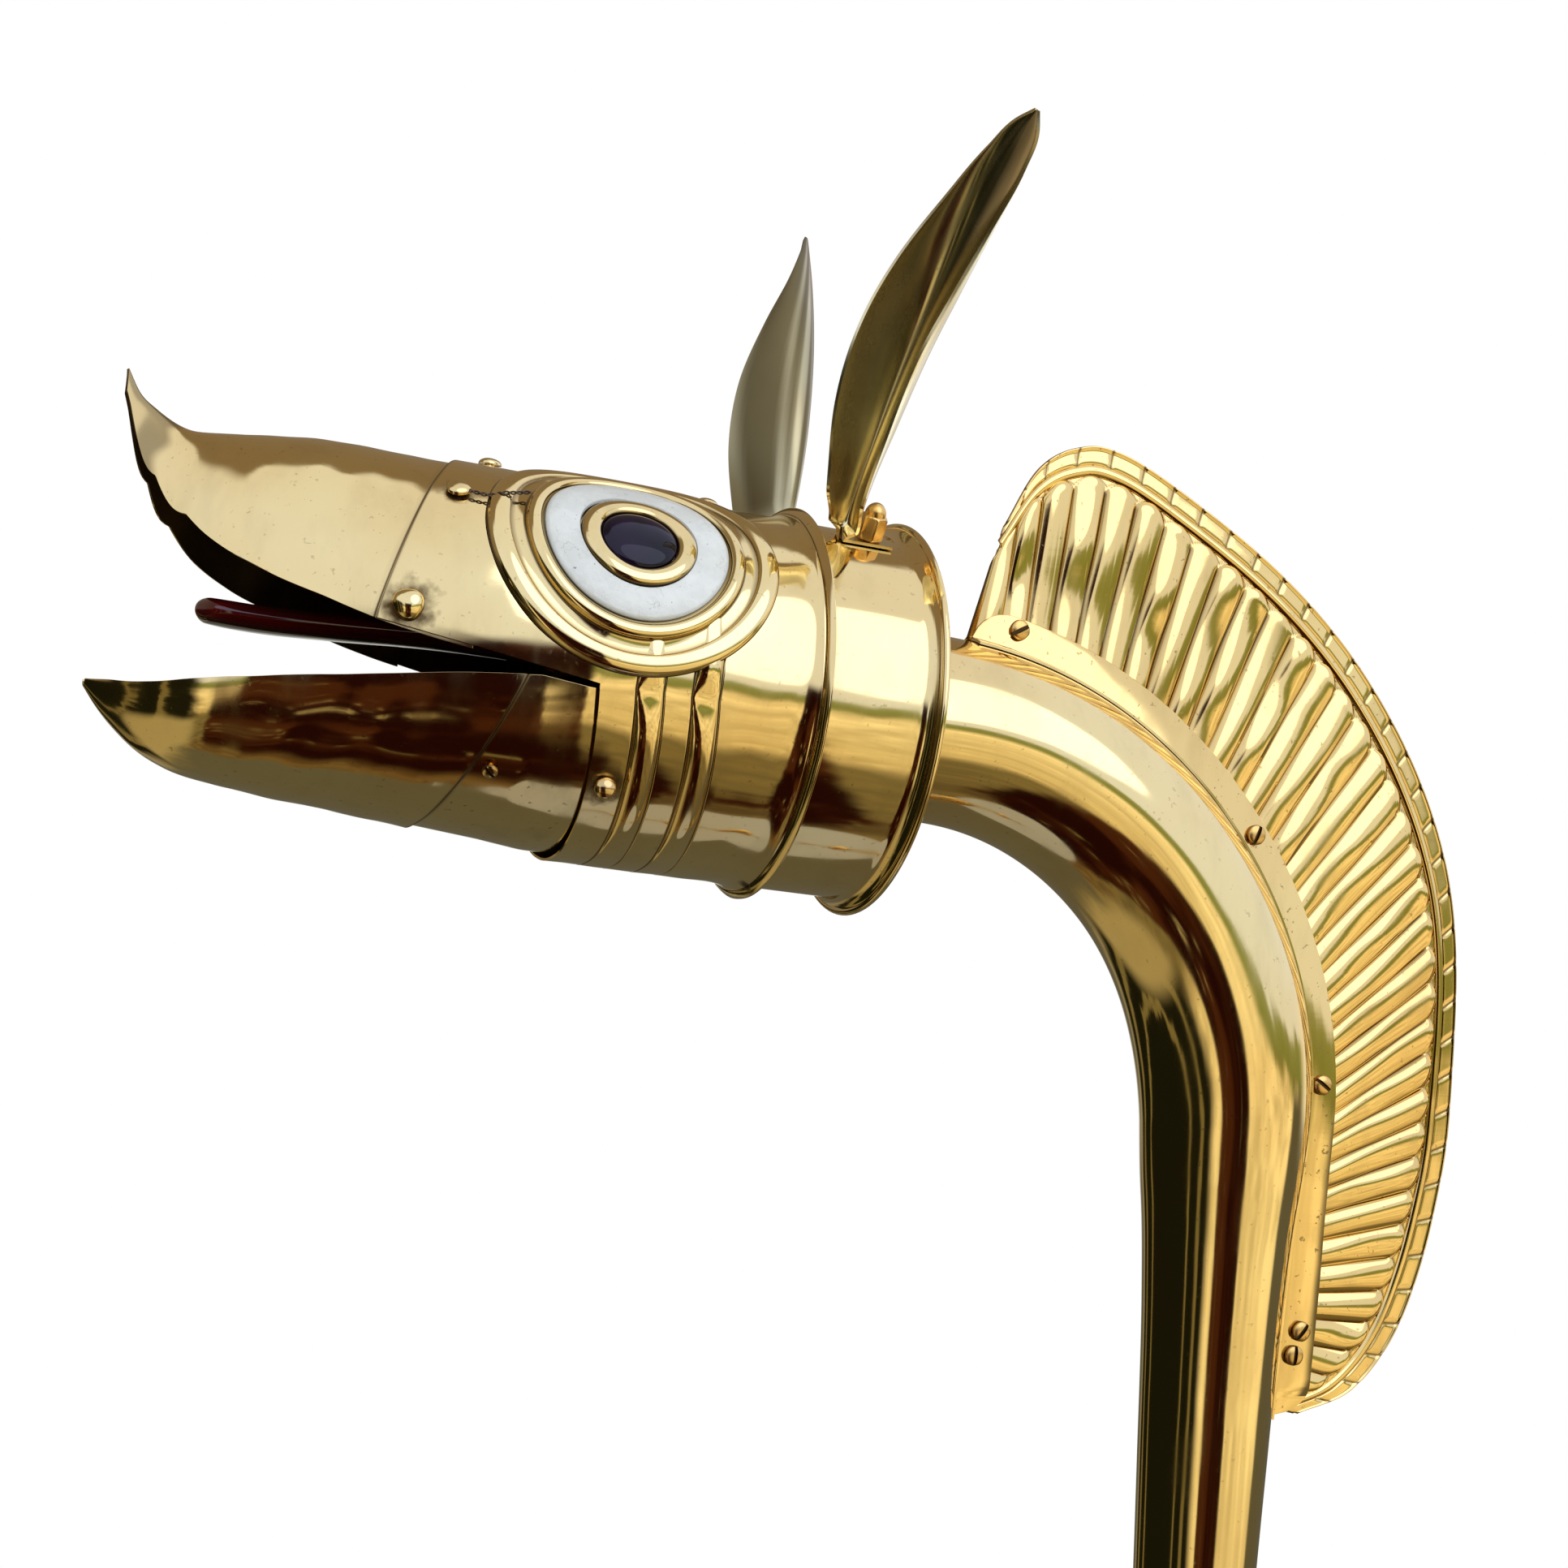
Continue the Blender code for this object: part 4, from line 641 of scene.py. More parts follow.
def make_head_skin():
    """Head and throat in one sheet: rows run back along the barrel, columns round it.

    Over each bead the radius grows by h sqrt(1 - d^2), with a fine groove at each side; the rear rim
    flares as the 4th power of the way to it and ends in a roll of the same round section.
    """
    size = sizes()
    across, under = 84, 60
    v = np.linspace(0, 1, across + 1)
    u = np.concatenate([[0, 0.004, 0.010, 0.02, 0.035], np.linspace(0.07, 1, 14)[:-1]])[:, None]
    lip = LIP_FRONT + (LIP_REAR - LIP_FRONT) * u
    angle = lip + v[None] * (180 - 2 * lip)
    upper = head_point(seam_x(angle) * (1 - u) + THROAT_FRONT * u, angle)
    around = np.concatenate([LIP_REAR + v * (180 - 2 * LIP_REAR),
                             180 - LIP_REAR + np.linspace(0, 1, under + 1)[1:-1] * (180 + 2 * LIP_REAR)])
    stations = [np.linspace(THROAT_FRONT, -0.1236, 6)]
    fine = np.array([1.06, 1.10, 1.14, 1.18, 1.23, 1.30])
    for bead in BEADS:
        stations.append(bead - BEAD_HALF * np.cos(np.linspace(0, math.pi, 15)))
        stations.append(bead + BEAD_HALF * np.concatenate([fine, -fine]))
    stations.append(np.array([-0.086, -0.080, -0.075, -0.070, -0.066, -0.063, -0.0605, -0.0585, -0.0570, -0.0557,
                              -0.0546, -0.0537, -0.0529, -0.0523]))
    stations.append(ROLL_X - ROLL_HALF * np.cos(np.linspace(0, math.pi, 13)))
    stations.append(ROLL_X - ROLL_HALF * fine)
    x = np.unique(np.round(np.concatenate(stations), 6))[:, None]
    rise = np.zeros_like(x)
    dark = np.zeros_like(x)
    # Painted shade: the corners darken in the grooves beside each bead and beside the rear roll.
    for bead in BEADS:
        d = np.abs(x - bead) / BEAD_HALF
        rise = rise + size.bead_height * root(1 - d * d)
        rise = rise - 0.00035 * bell((d - 1.14) / 0.05)
        dark = dark + bell((d - 1.12) / 0.07)
    below = np.clip(-np.sin(np.radians(around)) - math.sin(math.radians(-LIP_REAR)), 0, None)[None]
    keel = below / (1 - math.sin(math.radians(-LIP_REAR)))
    bead_on = np.where(rise > 0, held(below * 5) * held((0.97 - keel) * 5), 1.0)
    crown = ease((np.sin(np.radians(around))[None] + 0.12) * 6)
    bead_on = np.where(x > -0.128, np.maximum(bead_on, crown), bead_on)
    flare = held((x - FLARE_X) / (SHELL_RIM_X - FLARE_X)) ** 4
    d = np.abs(x - ROLL_X) / ROLL_HALF
    roll = 0.0010 * root(1 - d * d) - 0.0003 * bell((d - 1.15) / 0.07)
    radius = size.head_radius + (RIM_RADIUS - size.head_radius) * flare + rise * bead_on + roll
    dark = dark * held(bead_on) + bell((d - 1.14) / 0.10) + 0 * radius
    slant = 0.007 * held(below * 1.2) * held((-0.070 - x) / 0.02)
    a = np.radians(around)[None]
    full = np.stack([x + slant, -radius * np.cos(a), radius * np.sin(a)], axis=-1)
    verts = np.concatenate([upper.reshape(-1, 3), full.reshape(-1, 3)])
    count = upper.shape[0] * (across + 1)
    top = quads(upper.shape[0], across + 1, False)
    j = np.arange(across)
    last = count - (across + 1) + j
    join = np.stack([last, last + 1, count + j + 1, count + j], axis=-1)
    ring = quads(full.shape[0], full.shape[1], True) + count
    lap = bell((upper[..., 0] - upper[:1, :, 0]) / 0.0005)
    mesh = mesh_of("head_skin", tip_up(hammered(verts, size.hammering)), np.concatenate([top, join, ring]),
                   np.concatenate([lap.ravel(), dark.ravel()]))
    piece = thicken(add("head_skin", mesh, "head", 60), SHEET, lined=True)
    return settle(piece, "horn", "polished_brass", "head_shell")


def make_snout_skin():
    """The upper jaw: the head's skin carried forward inside the lap, its lip cut in two scallops at the tip.

    Its rows lean back with the lap seam as they near it, so that a dark line can follow the lap's edge.
    """
    place = joined(np.linspace(-0.314, -0.286, 60), np.linspace(-0.286, -0.2215, 34),
                   LAP_X + np.linspace(-0.0010, 0.0010, 11), np.linspace(-0.219, -0.1850, 12))
    place = place[:, None]
    lip = curve(place, LIP)
    lip = lip - 3.5 * np.abs(np.sin(math.pi * (place + 0.312) / 0.0115)) * ((place > -0.312) & (place < -0.289))
    angle = lip + np.linspace(0, 1, 97)[None] * (180 - 2 * lip)
    x = place + (seam_x(angle) - LAP_X) * ease((place + 0.286) / 0.0655)
    points = head_point(x, angle, -LAP)
    # Darker along the lap's edge; past a wavy edge the front of the snout is darkened as a painted dark reflection.
    edge = place + 0.0045 * np.sin(np.radians(angle) * 3.0) + 0.0012 * np.sin(np.radians(angle) * 17.0)
    dark = bell((place - LAP_X + 0.0003) / 0.00050) + 0.60 * (1 - ease((edge + 0.3000) / 0.0045))
    piece = sheet_piece("snout_skin", tip_up(hammered(points, sizes().hammering * 1.5)), "snout", SHEET,
                        wear_and_shade=dark, lined=True)
    return settle(piece, "horn", "polished_brass", "snout")


def jaw_point(x, angle, offset=0.0):
    """The jaw's trough: half ellipses from rim to rim; angle 0 is the left rim and 90 the keel."""
    a = np.radians(angle)
    rim = curve(x, JAW_RIM)
    depth = rim - curve(x, JAW_KEEL) + offset
    return np.stack([x + 0 * a, -(curve(x, JAW_WIDTH) + offset) * np.cos(a), rim - depth * np.sin(a)], axis=-1)


def make_jaw_front():
    """The jaw's front trough, whose rear edge slants back at the rims."""
    v = np.linspace(0, 180, 81)[None]
    x = np.concatenate([np.linspace(-0.315, -0.290, 26), np.linspace(-0.288, -0.189, 42),
                        np.linspace(-0.1885, -0.187, 6)])[:, None]
    x = x + 0.023 * (1 - np.sin(np.radians(v))) * held((x + 0.245) / 0.058)
    points = hammered(jaw_point(x, v), sizes().hammering * 1.6)
    dark = bell((x - x[-1:]) / 0.0006)
    piece = sheet_piece("jaw_trough", tip_up(points), "jaw", -SHEET, wear_and_shade=dark, lined=True)
    return settle(piece, "lower_jaw", "polished_brass", "jaw_front")


def make_jaw_rear():
    """The jaw's rear band: the trough turning into a half tube that runs inside the throat."""
    v = np.linspace(0, 180, 81)[None]
    t = joined(np.linspace(0, 1, 30), np.linspace(0.12, 0.21, 70))[:, None]
    radius = HEAD_RADIUS - SHEET - 0.0020
    side = held(1.6 - 2.2 * np.sin(np.radians(v)))
    front = -0.197 + 0.023 * (1 - np.sin(np.radians(v)))
    keel_end = THROAT_FRONT + 0.007 + 0.004
    x = front * (1 - t) + (keel_end + (-0.117 - keel_end) * side) * t
    share = held((x - JAW_LOFT_END) / 0.018)[..., None]
    ahead = jaw_point(np.minimum(x, JAW_LOFT_END), v, -LAP)
    ahead[..., 0] = x
    start = math.degrees(math.asin(0.0100 / radius))
    turn = np.radians(start + v * (1 - start / 90))
    band = np.stack([x, -radius * np.cos(turn) + 0 * x, -radius * np.sin(turn) + 0 * x], axis=-1)
    points = ahead * (1 - share) + band * share
    dark = bell((x - front - 0.0106) / 0.0010)
    piece = sheet_piece("jaw_band", tip_up(points), "jaw_band", -SHEET, wear_and_shade=dark, lined=True)
    return settle(piece, "lower_jaw", "polished_brass", "jaw_rear")


TONGUE_TIP = -0.2779
TONGUE = ((-0.2772, 0.0090, 0.0046, 0.0030), (-0.2752, 0.0120, 0.0047, 0.0028), (-0.2698, 0.0150, 0.0049, 0.0025),
          (-0.2575, 0.0180, 0.0050, 0.0022), (-0.2250, 0.0190, 0.0050, 0.0035), (-0.1900, 0.0180, 0.0048, 0.0055),
          (-0.1500, 0.0130, 0.0048, 0.0060), (-0.1180, 0.0100, 0.0055, 0.0060), (-0.1060, 0.0100, 0.0050, 0.0060))


def make_tongue():
    """A carved paddle: superellipse sections along x, drawn to a round tip, with a shallow groove on top."""
    nose = TONGUE_TIP + 0.006 * (1 - np.cos(np.linspace(0, math.pi / 2, 12)))
    x = np.concatenate([nose, np.linspace(-0.270, -0.106, 46)])
    width = curve(x, [(s[0], s[1]) for s in TONGUE])
    thick = curve(x, [(s[0], s[2]) for s in TONGUE])
    near = held((x - TONGUE_TIP) / np.array([[0.010], [0.0052]]))
    tip = np.sqrt(near * (2 - near))
    z = curve(x, [(s[0], s[3]) for s in TONGUE])
    turn = circle(48)[None]
    width, thick, z = (width * tip[0])[:, None], (thick * np.maximum(tip[1], 0.02))[:, None], z[:, None]
    y = width * np.sign(np.cos(turn)) * np.abs(np.cos(turn)) ** 0.75
    groove = 0.0008 * bell(y / 0.004) * (np.sin(turn) > 0) * ease((x[:, None] + 0.272) / 0.02)
    points = np.stack([x[:, None] + 0 * turn, y, z + thick * np.sin(turn) - groove], axis=-1)
    piece = solid_piece("tongue_paddle", tip_up(end_caps(points)), "tongue")
    return settle(piece, "tongue", "lacquered_wood", "tongue")


# Collar, neck and tubes

def turned_piece(name, profile, material, body, slot, matrix, *nodes, steps=None):
    """A turned piece with softened corners that stands for its CAD node."""
    grid = turned_grid(softened(profile, 0.00025), steps or sizes().steps, matrix)
    return settle(solid_piece(name, grid, material), body, slot, *nodes)


def make_collar():
    """The collar, its lip rolled round a wire, and the back plate, turned about the head's axis."""
    axis = in_head(standing((0, 0, 0), (1, 0, 0), (0, 1, 0)))
    radius, lip = sizes().head_radius, 0.0816
    spigot = radius - LAP
    step = SHELL_RIM_X + 0.0006
    flare = [(radius + (lip - 0.0022 - radius) * t**3.2, -0.0105 + 0.0075 * t) for t in np.linspace(0, 1, 11)]
    inner = [(r - SHEET, z) for r, z in flare]
    turn = np.linspace(math.pi * 1.02, -math.pi * 0.45, 12)
    wire = [(lip - 0.0017 + 0.0017 * math.sin(t), -0.0016 - 0.0016 * math.cos(t)) for t in math.pi / 2 - turn]
    profile = wire[::-1] + flare[::-1] + [(radius, step), (spigot, step - 0.0012), (spigot, SHELL_RIM_X - 0.012),
                                          (spigot - SHEET, SHELL_RIM_X - 0.012), (spigot - SHEET, step - 0.001),
                                          (radius - SHEET, step + 0.0004)] + inner
    turned_piece("collar_band", profile, "collar", "horn", "polished_brass", axis, "neck_collar", steps=112)
    rim, neck = radius - SHEET - 0.001, 0.0395 + FIT
    plate = [(neck + SHEET, 0.016), (neck + SHEET, 0.0052), (rim, -0.0100), (rim, -0.016), (rim - SHEET, -0.016),
             (rim - SHEET, -0.0108), (neck, 0.0042), (neck, 0.016)]
    turned_piece("collar_plate", plate, "plate", "horn", "polished_brass", axis, "back_plate", steps=96)


BEND_END = BEND_RADIUS * (math.pi / 2 - PITCH)
BEND_Z = HEAD_Z - BEND_START * math.sin(PITCH) - BEND_RADIUS * math.cos(PITCH)
NECK_END_Z = 0.570
NECK_LENGTH = BEND_END + BEND_Z - NECK_END_Z
NECK_RADII = ((-0.037, 0.0395), (0.120, 0.0385), (0.235, 0.0370), (0.262, 0.0350), (0.285, 0.0326), (0.315, 0.0305),
              (0.390, 0.0276), (0.460, 0.0253), (0.545, 0.0226))


def neck_frame(s):
    """The neck's centre line and outward direction: a line, a quarter turn of radius R, then straight down."""
    s = np.asarray(s, float)
    turn = PITCH + np.clip(s, 0, BEND_END) / BEND_RADIUS
    before, after = np.minimum(s, 0), np.maximum(s - BEND_END, 0)
    x = -BEND_RADIUS + BEND_RADIUS * np.sin(turn) + before * math.cos(PITCH)
    z = BEND_Z + BEND_RADIUS * np.cos(turn) - before * math.sin(PITCH) - after
    return np.stack([x, 0 * x, z], axis=-1), np.stack([np.sin(turn), 0 * x, np.cos(turn)], axis=-1)


def make_neck():
    """The neck: circles of a slowly falling radius along its centre line."""
    s = np.concatenate([np.linspace(-0.037, BEND_END, 72), np.linspace(BEND_END + 0.004, NECK_LENGTH, 44)])
    centre, out = neck_frame(s)
    turn = circle(80)[None, :, None]
    radius = curve(s, NECK_RADII)[:, None, None]
    points = centre[:, None] + radius * (np.cos(turn) * out[:, None] + np.sin(turn) * np.array([0.0, 1.0, 0.0]))
    piece = sheet_piece("neck_skin", points, "neck", -TUBE_WALL, wrap=True, flip=True)
    settle(piece, "horn", "polished_brass", "neck_front", "neck_bend", "neck_tube")


def make_tubes():
    """The straight conical sections, the knopped rings over their joints and the receiver."""
    top = float(curve(np.array(NECK_LENGTH), NECK_RADII)) - TUBE_WALL - FIT
    inset = MIDDLE_END_RADIUS - TUBE_WALL - FIT
    above = (float(curve(np.array(NECK_LENGTH - 0.07), NECK_RADII)) - top - TUBE_WALL - FIT) / 0.07
    for name, node_name, high, low, z, end in (
            ("tube_middle", "middle_tube", top, MIDDLE_END_RADIUS, NECK_END_Z, MIDDLE_END_Z),
            ("tube_lower", "lower_tube", inset, LOWER_END_RADIUS, MIDDLE_END_Z, LOWER_END_Z)):
        wall = [(high, z + 0.030), (high, z), (low, end), (low - TUBE_WALL, end), (high - TUBE_WALL, z),
                (high - TUBE_WALL, z + 0.030)]
        turned_piece(name, wall, "tube", "horn", "polished_brass", None, node_name)
    for name, node_name, z, radius, slope, under in (
            ("ring_upper", "upper_ferrule", NECK_END_Z, top + TUBE_WALL + FIT, above, top),
            ("ring_lower", "lower_ferrule", MIDDLE_END_Z, MIDDLE_END_RADIUS, (top - MIDDLE_END_RADIUS) / 0.440,
             inset)):
        high, low = z + 0.02852, z - 0.01748
        bore = radius + slope * (high - z) + FIT
        body, mid = bore + 0.0014, (high + low) / 2
        swell = [(body + 0.0075 * math.cos(t) ** 0.8, mid - 0.0085 * math.sin(t))
                 for t in np.linspace(-1.5, 1.5, 15)]
        ring = [(body + 0.0012, high), (body + 0.0012, high - 0.0025), (body, high - 0.0035)] + swell + [
            (body, low + 0.0035), (body + 0.0012, low + 0.0025), (body + 0.0012, low), (under + FIT, low),
            (under + FIT, z - FIT), (radius + FIT, z - FIT), (bore, high)]
        turned_piece(name, ring, "fitting", "horn", "gold_brass", None, node_name)
    bore, slope = LOWER_END_RADIUS + FIT, (0.014 - LOWER_END_RADIUS) / 0.400
    wide = bore + slope * 0.030 + 0.0014
    cup = [(wide, -0.240), (wide, -0.264), (wide + 0.0016, -0.265), (wide + 0.0016, LOWER_END_Z),
           (bore, LOWER_END_Z), (bore + slope * 0.030, -0.240)]
    turned_piece("receiver_ring", cup, "fitting", "horn", "gold_brass", None, "mouthpiece_receiver")


def make_mouthpiece():
    """The cupped mouthpiece, turned in one."""
    shank, seat = LOWER_END_RADIUS - TUBE_WALL - FIT, LOWER_END_Z - FIT
    end = seat - 0.044
    outside = [(0.0062, seat - 0.0070), (0.0058, seat - 0.0110), (0.0059, seat - 0.0160), (0.0068, seat - 0.0210),
               (0.0086, seat - 0.0260), (0.0112, seat - 0.0315), (0.0130, end + 0.0080), (0.0136, end + 0.0030),
               (0.0133, end + 0.0008), (0.0112, end), (0.0094, end + 0.0010), (0.0080, end + 0.0060),
               (0.0058, end + 0.0110), (0.0026, end + 0.0160)]
    profile = [(shank - 0.0010, seat + 0.024), (shank, seat + 0.0225), (shank, seat), (shank + 0.0035, seat),
               (shank + 0.0035, seat - 0.003)] + outside + [(0.0026, seat - 0.010), (0.0045, seat + 0.024)]
    turned_piece("mouthpiece_cup", profile, "fitting", "mouthpiece", "gold_brass", None, "mouthpiece")


# Crest

CREST_RIM = ((0.0150, 0.0930), (0.0205, 0.1190), (0.0290, 0.1335), (0.0402, 0.1390), (0.0687, 0.1362),
             (0.1223, 0.1355), (0.1729, 0.1305), (0.2217, 0.1163), (0.2605, 0.1117), (0.3005, 0.1037),
             (0.3335, 0.0910), (0.3565, 0.0715), (0.3665, 0.0460))
CREST_SCREWS = ((0.0262, 0.0105), (0.1374, 0.0095), (0.2270, 0.0092), (0.3300, 0.0132), (0.3405, 0.0108))
FLANGE_HEIGHTS = ((0.0, 0.0150), (0.20, 0.0158), (0.26, 0.0170), (0.30, 0.0196), (0.40, 0.0200))
WEB = 0.0022
STRIP = 0.0012
CREST_START, CREST_END = 0.0105, 0.3665


def crest_line(s, height):
    """A point of the crest's middle plane: path length and height above the neck's centre line."""
    centre, out = neck_frame(s)
    return centre + np.asarray(height)[..., None] * out


def make_crest():
    """The reeded sheet: rows run in from the rim, columns along it.

    Across a reed the sheet stands out by d sqrt(1 - |p|^2.2), p from -1 to 1; each reed ends in an arch
    near the rim, then come a round bead and a flat band with crimp marks.
    """
    size = sizes()
    per = 14
    count = size.reeds * per
    t = np.linspace(0, 1, count + 1)
    fine = np.linspace(0, 1, 1200)
    knots = np.linspace(0, 1, len(CREST_RIM))
    rim_s = curve(fine, list(zip(knots, [p[0] for p in CREST_RIM])))
    rim_h = curve(fine, list(zip(knots, [p[1] for p in CREST_RIM])))
    line = crest_line(rim_s, rim_h)
    path = np.concatenate([[0], np.cumsum(np.linalg.norm(np.diff(line, axis=0), axis=1))])
    rim = np.stack([np.interp(t * path[-1], path, line[:, k]) for k in range(3)], axis=-1)
    foot_s = CREST_START + t * (CREST_END - 0.004 - CREST_START)
    foot = crest_line(foot_s, curve(foot_s, NECK_RADII) + 0.0010)
    span = np.linalg.norm(foot - rim, axis=1)
    near = np.array([0, 0.0004, 0.0012, 0.0025, 0.0045, 0.0065, 0.0082, 0.0090, 0.0094, 0.0098, 0.0102, 0.0106,
                     0.0110, 0.0114, 0.0118, 0.0122, 0.0126, 0.0130, 0.0134, 0.0140, 0.0146, 0.0152, 0.0158,
                     0.0164, 0.0170, 0.0176, 0.0184, 0.0194, 0.0206])
    near = near[:, None] / span[None]
    rest = near[-1:] + (1 - near[-1:]) * np.linspace(0, 1, 25)[1:, None]
    share = np.concatenate([near, rest])
    depth = share * span[None]
    phase = ((np.arange(count + 1) % per) / per * 2 - 1)[None]
    swell = root(1 - np.abs(phase) ** 2.2)
    arch = held((depth - 0.0136 - 0.0042 * phase**2) / 0.0040)
    body = root(1 - (1 - arch) ** 2)
    bead = 0.0012 * root(1 - ((depth - 0.0110) / 0.0017) ** 2)
    crimp = 0.00035 * bell((np.abs(phase) - 1) / 0.12) * ease((0.0085 - depth) / 0.002) * ease(depth / 0.0015)
    roll = 0.0005 * bell(depth / 0.0009)
    points = rim[None] + (foot - rim)[None] * share[..., None]
    reeded = size.reed_depth * (0.5 - swell * body) - size.reed_depth * 0.25 * (1 - body)
    points[..., 1] = reeded - bead + crimp - roll
    reed = np.minimum(np.arange(count + 1) // per, size.reeds - 1)[None]
    wave = np.sin(depth * (95 + 40 * np.sin(reed * 2.4)) + reed * 1.9) * 0.00070
    lean = phase * np.sin(reed * 12.9 + 0.7 * np.sin(depth * 60 + reed)) * 0.0006
    points[..., 1] += (wave * swell + lean) * body
    # Painted shade: dark in the valleys between reeds, at the reeds' arched ends, beside the bead and along the
    # crimp lines.
    dark = (np.abs(phase) ** 9 * body * 1.3 + 0.8 * bell((depth - 0.0134 - 0.0030 * phase**2) / 0.0005)
            + 0.5 * bell((depth - 0.0088) / 0.0004) + 0.9 * (np.abs(phase) > 0.97) * (depth < 0.0085))
    piece = sheet_piece("crest_reeds", points, "crest", -0.0013, edge=0, wear_and_shade=dark)
    piece.modifiers["sheet"].use_even_offset = False
    settle(piece, "horn", "gold_brass", "crest")


def make_flange(word, side):
    """An angle strip: a web against the crest and a foot that follows the neck's round."""
    s = joined(np.linspace(CREST_START, 0.0235, 10), np.linspace(0.0235, 0.3535, 110),
               np.linspace(0.3535, CREST_END, 10))
    end = held(np.minimum(s - s[0], s[-1] - s) / 0.013)
    rise = np.maximum(curve(s, FLANGE_HEIGHTS) * np.sqrt(1 - (1 - end) ** 2), 0.0019)[:, None]
    centre, out = neck_frame(s)
    radius = curve(s, NECK_RADII)[:, None] + FIT
    face = WEB + STRIP
    toe = np.linspace(face + 0.0008, face + 0.009, 6)[None]
    foot_top = np.sqrt(radius**2 - toe**2) + STRIP
    foot_under = np.sqrt(radius**2 - toe[:, ::-1] ** 2) + 0.0001
    one = np.ones_like(radius)
    across = np.concatenate([one * WEB, one * (WEB + 0.0003), one * (face - 0.0003), one * face, one * face,
                             one * (face + 0.0002), one * toe, one * toe[:, ::-1], one * WEB], axis=1)
    web_foot = np.sqrt(radius**2 - face**2) + STRIP
    up = np.concatenate([radius + rise - 0.0003, radius + rise, radius + rise, radius + rise - 0.0003,
                         web_foot + 0.0008, web_foot + 0.0003, foot_top, foot_under, radius + 0.0001], axis=1)
    points = centre[:, None] + up[..., None] * out[:, None]
    points[..., 1] = side * across
    piece = solid_piece("crest_strip_" + word, end_caps(points), "flange", angle=50)
    settle(piece, "horn", "gold_brass", "crest_flange_" + word)


def make_flanges():
    """A strip at each side of the crest."""
    for word, side in SIDES:
        make_flange(word, side)


def slotted_head(name, matrix, radius, height, slot_turn, shank, deep, material):
    """A cheese screw head: a square grid drawn onto a disc, sunk along a straight slot, over its shank."""
    wide = 0.17
    v = joined(np.linspace(-1, 1, 25), [-wide - 0.02, -wide, wide, wide + 0.02])
    u, w = np.meshgrid(np.linspace(-1, 1, 29), v, indexing="ij")
    x, y = u * np.sqrt(1 - w**2 / 2), w * np.sqrt(1 - u**2 / 2)
    away = held(np.hypot(x, y))
    h = height * root(1 - 0.85 * away**2.6)
    h = np.where(np.abs(w) <= wide + 0.001, np.minimum(h, height * 0.30), h)
    h = np.where(away > 0.995, 0.0, h)
    c, s = math.cos(slot_turn), math.sin(slot_turn)
    top = moved(np.stack([radius * (x * c - y * s), radius * (x * s + y * c), h], axis=-1), matrix)
    # Painted shade: darker in the slot and round the head's edge.
    dark = np.maximum(np.abs(w) <= wide + 0.021, (away - 0.90) / 0.12)
    under = turned_grid(softened([(0.0, 0.00005), (radius * 0.985, 0.00005), (radius * 0.985, 0.0), (shank, 0.0),
                                  (shank, -deep), (0.0, -deep)], 0.00005), 24, matrix)
    meshes = [grid_mesh(name, top, False, dark), grid_mesh(name + "_shank", under, True)]
    return add(name, closed(meshes), material, 35)


SLOT_TURNS = (0.5, 1.2, -0.6, 0.9, 1.5)


def make_crest_screws():
    """Slotted screws through both flanges, each over its nut."""
    face = WEB + STRIP + FIT
    for i, (s, lift) in enumerate(CREST_SCREWS):
        centre, out = neck_frame(s)
        p = centre + (float(curve(np.array(s), NECK_RADII)) + lift) * out
        matrix = standing(p + np.array([0, -face, 0]), (0, -1, 0))
        piece = slotted_head("crest_slot_screw_%d" % (i + 1), matrix, 0.0044, 0.0019, SLOT_TURNS[i], 0.0019,
                             2 * face + 0.0034, "fastener")
        settle(piece, "horn", "fastener_brass", "crest_screw_%d" % (i + 1))


# Eyes

def eye_grid(profile, side, squash, drop):
    """Rings laid on the head's skin: each (reach, height) pair is one ring, squashed round the barrel."""
    loop = np.array(profile, float)
    turn = circle(120)[None]
    rho, height = loop[:, :1], loop[:, 1:]
    x = EYE_X + rho * np.cos(turn)
    angle = EYE_ANGLE - drop + np.degrees(rho * squash * np.sin(turn) / sizes().head_radius)
    points = head_point(x, angle, height + 0 * turn)
    points[..., 1] *= -side
    return tip_up(points)


def eye_ring(name, top, under, side, material, slot, node_name, squash=0.95, drop=0.0, grooves=()):
    """A closed ring or disc: its top profile over a level underside, darkened at the grooves' reaches as painted
    shade.
    """
    top = [tuple(p) for p in top]
    reach = np.linspace(top[-1][0], top[0][0], 8)
    loop = top + [(float(r), under) for r in reach]
    if top[0][0] > 0:
        loop.append(top[0])
    grid = eye_grid(loop, side, squash, drop)
    # Painted shade: darker at the grooves where the rings meet the plate and one another.
    away = np.array([p[0] for p in loop])[:, None] - np.array([grooves or (9.0,)])
    wear_and_shade = bell(away / 0.00045).max(axis=1)[:, None] + np.zeros(grid.shape[:2])
    piece = solid_piece(name, grid, material, angle=50, wear_and_shade=wear_and_shade)
    settle(piece, "horn", slot, node_name)


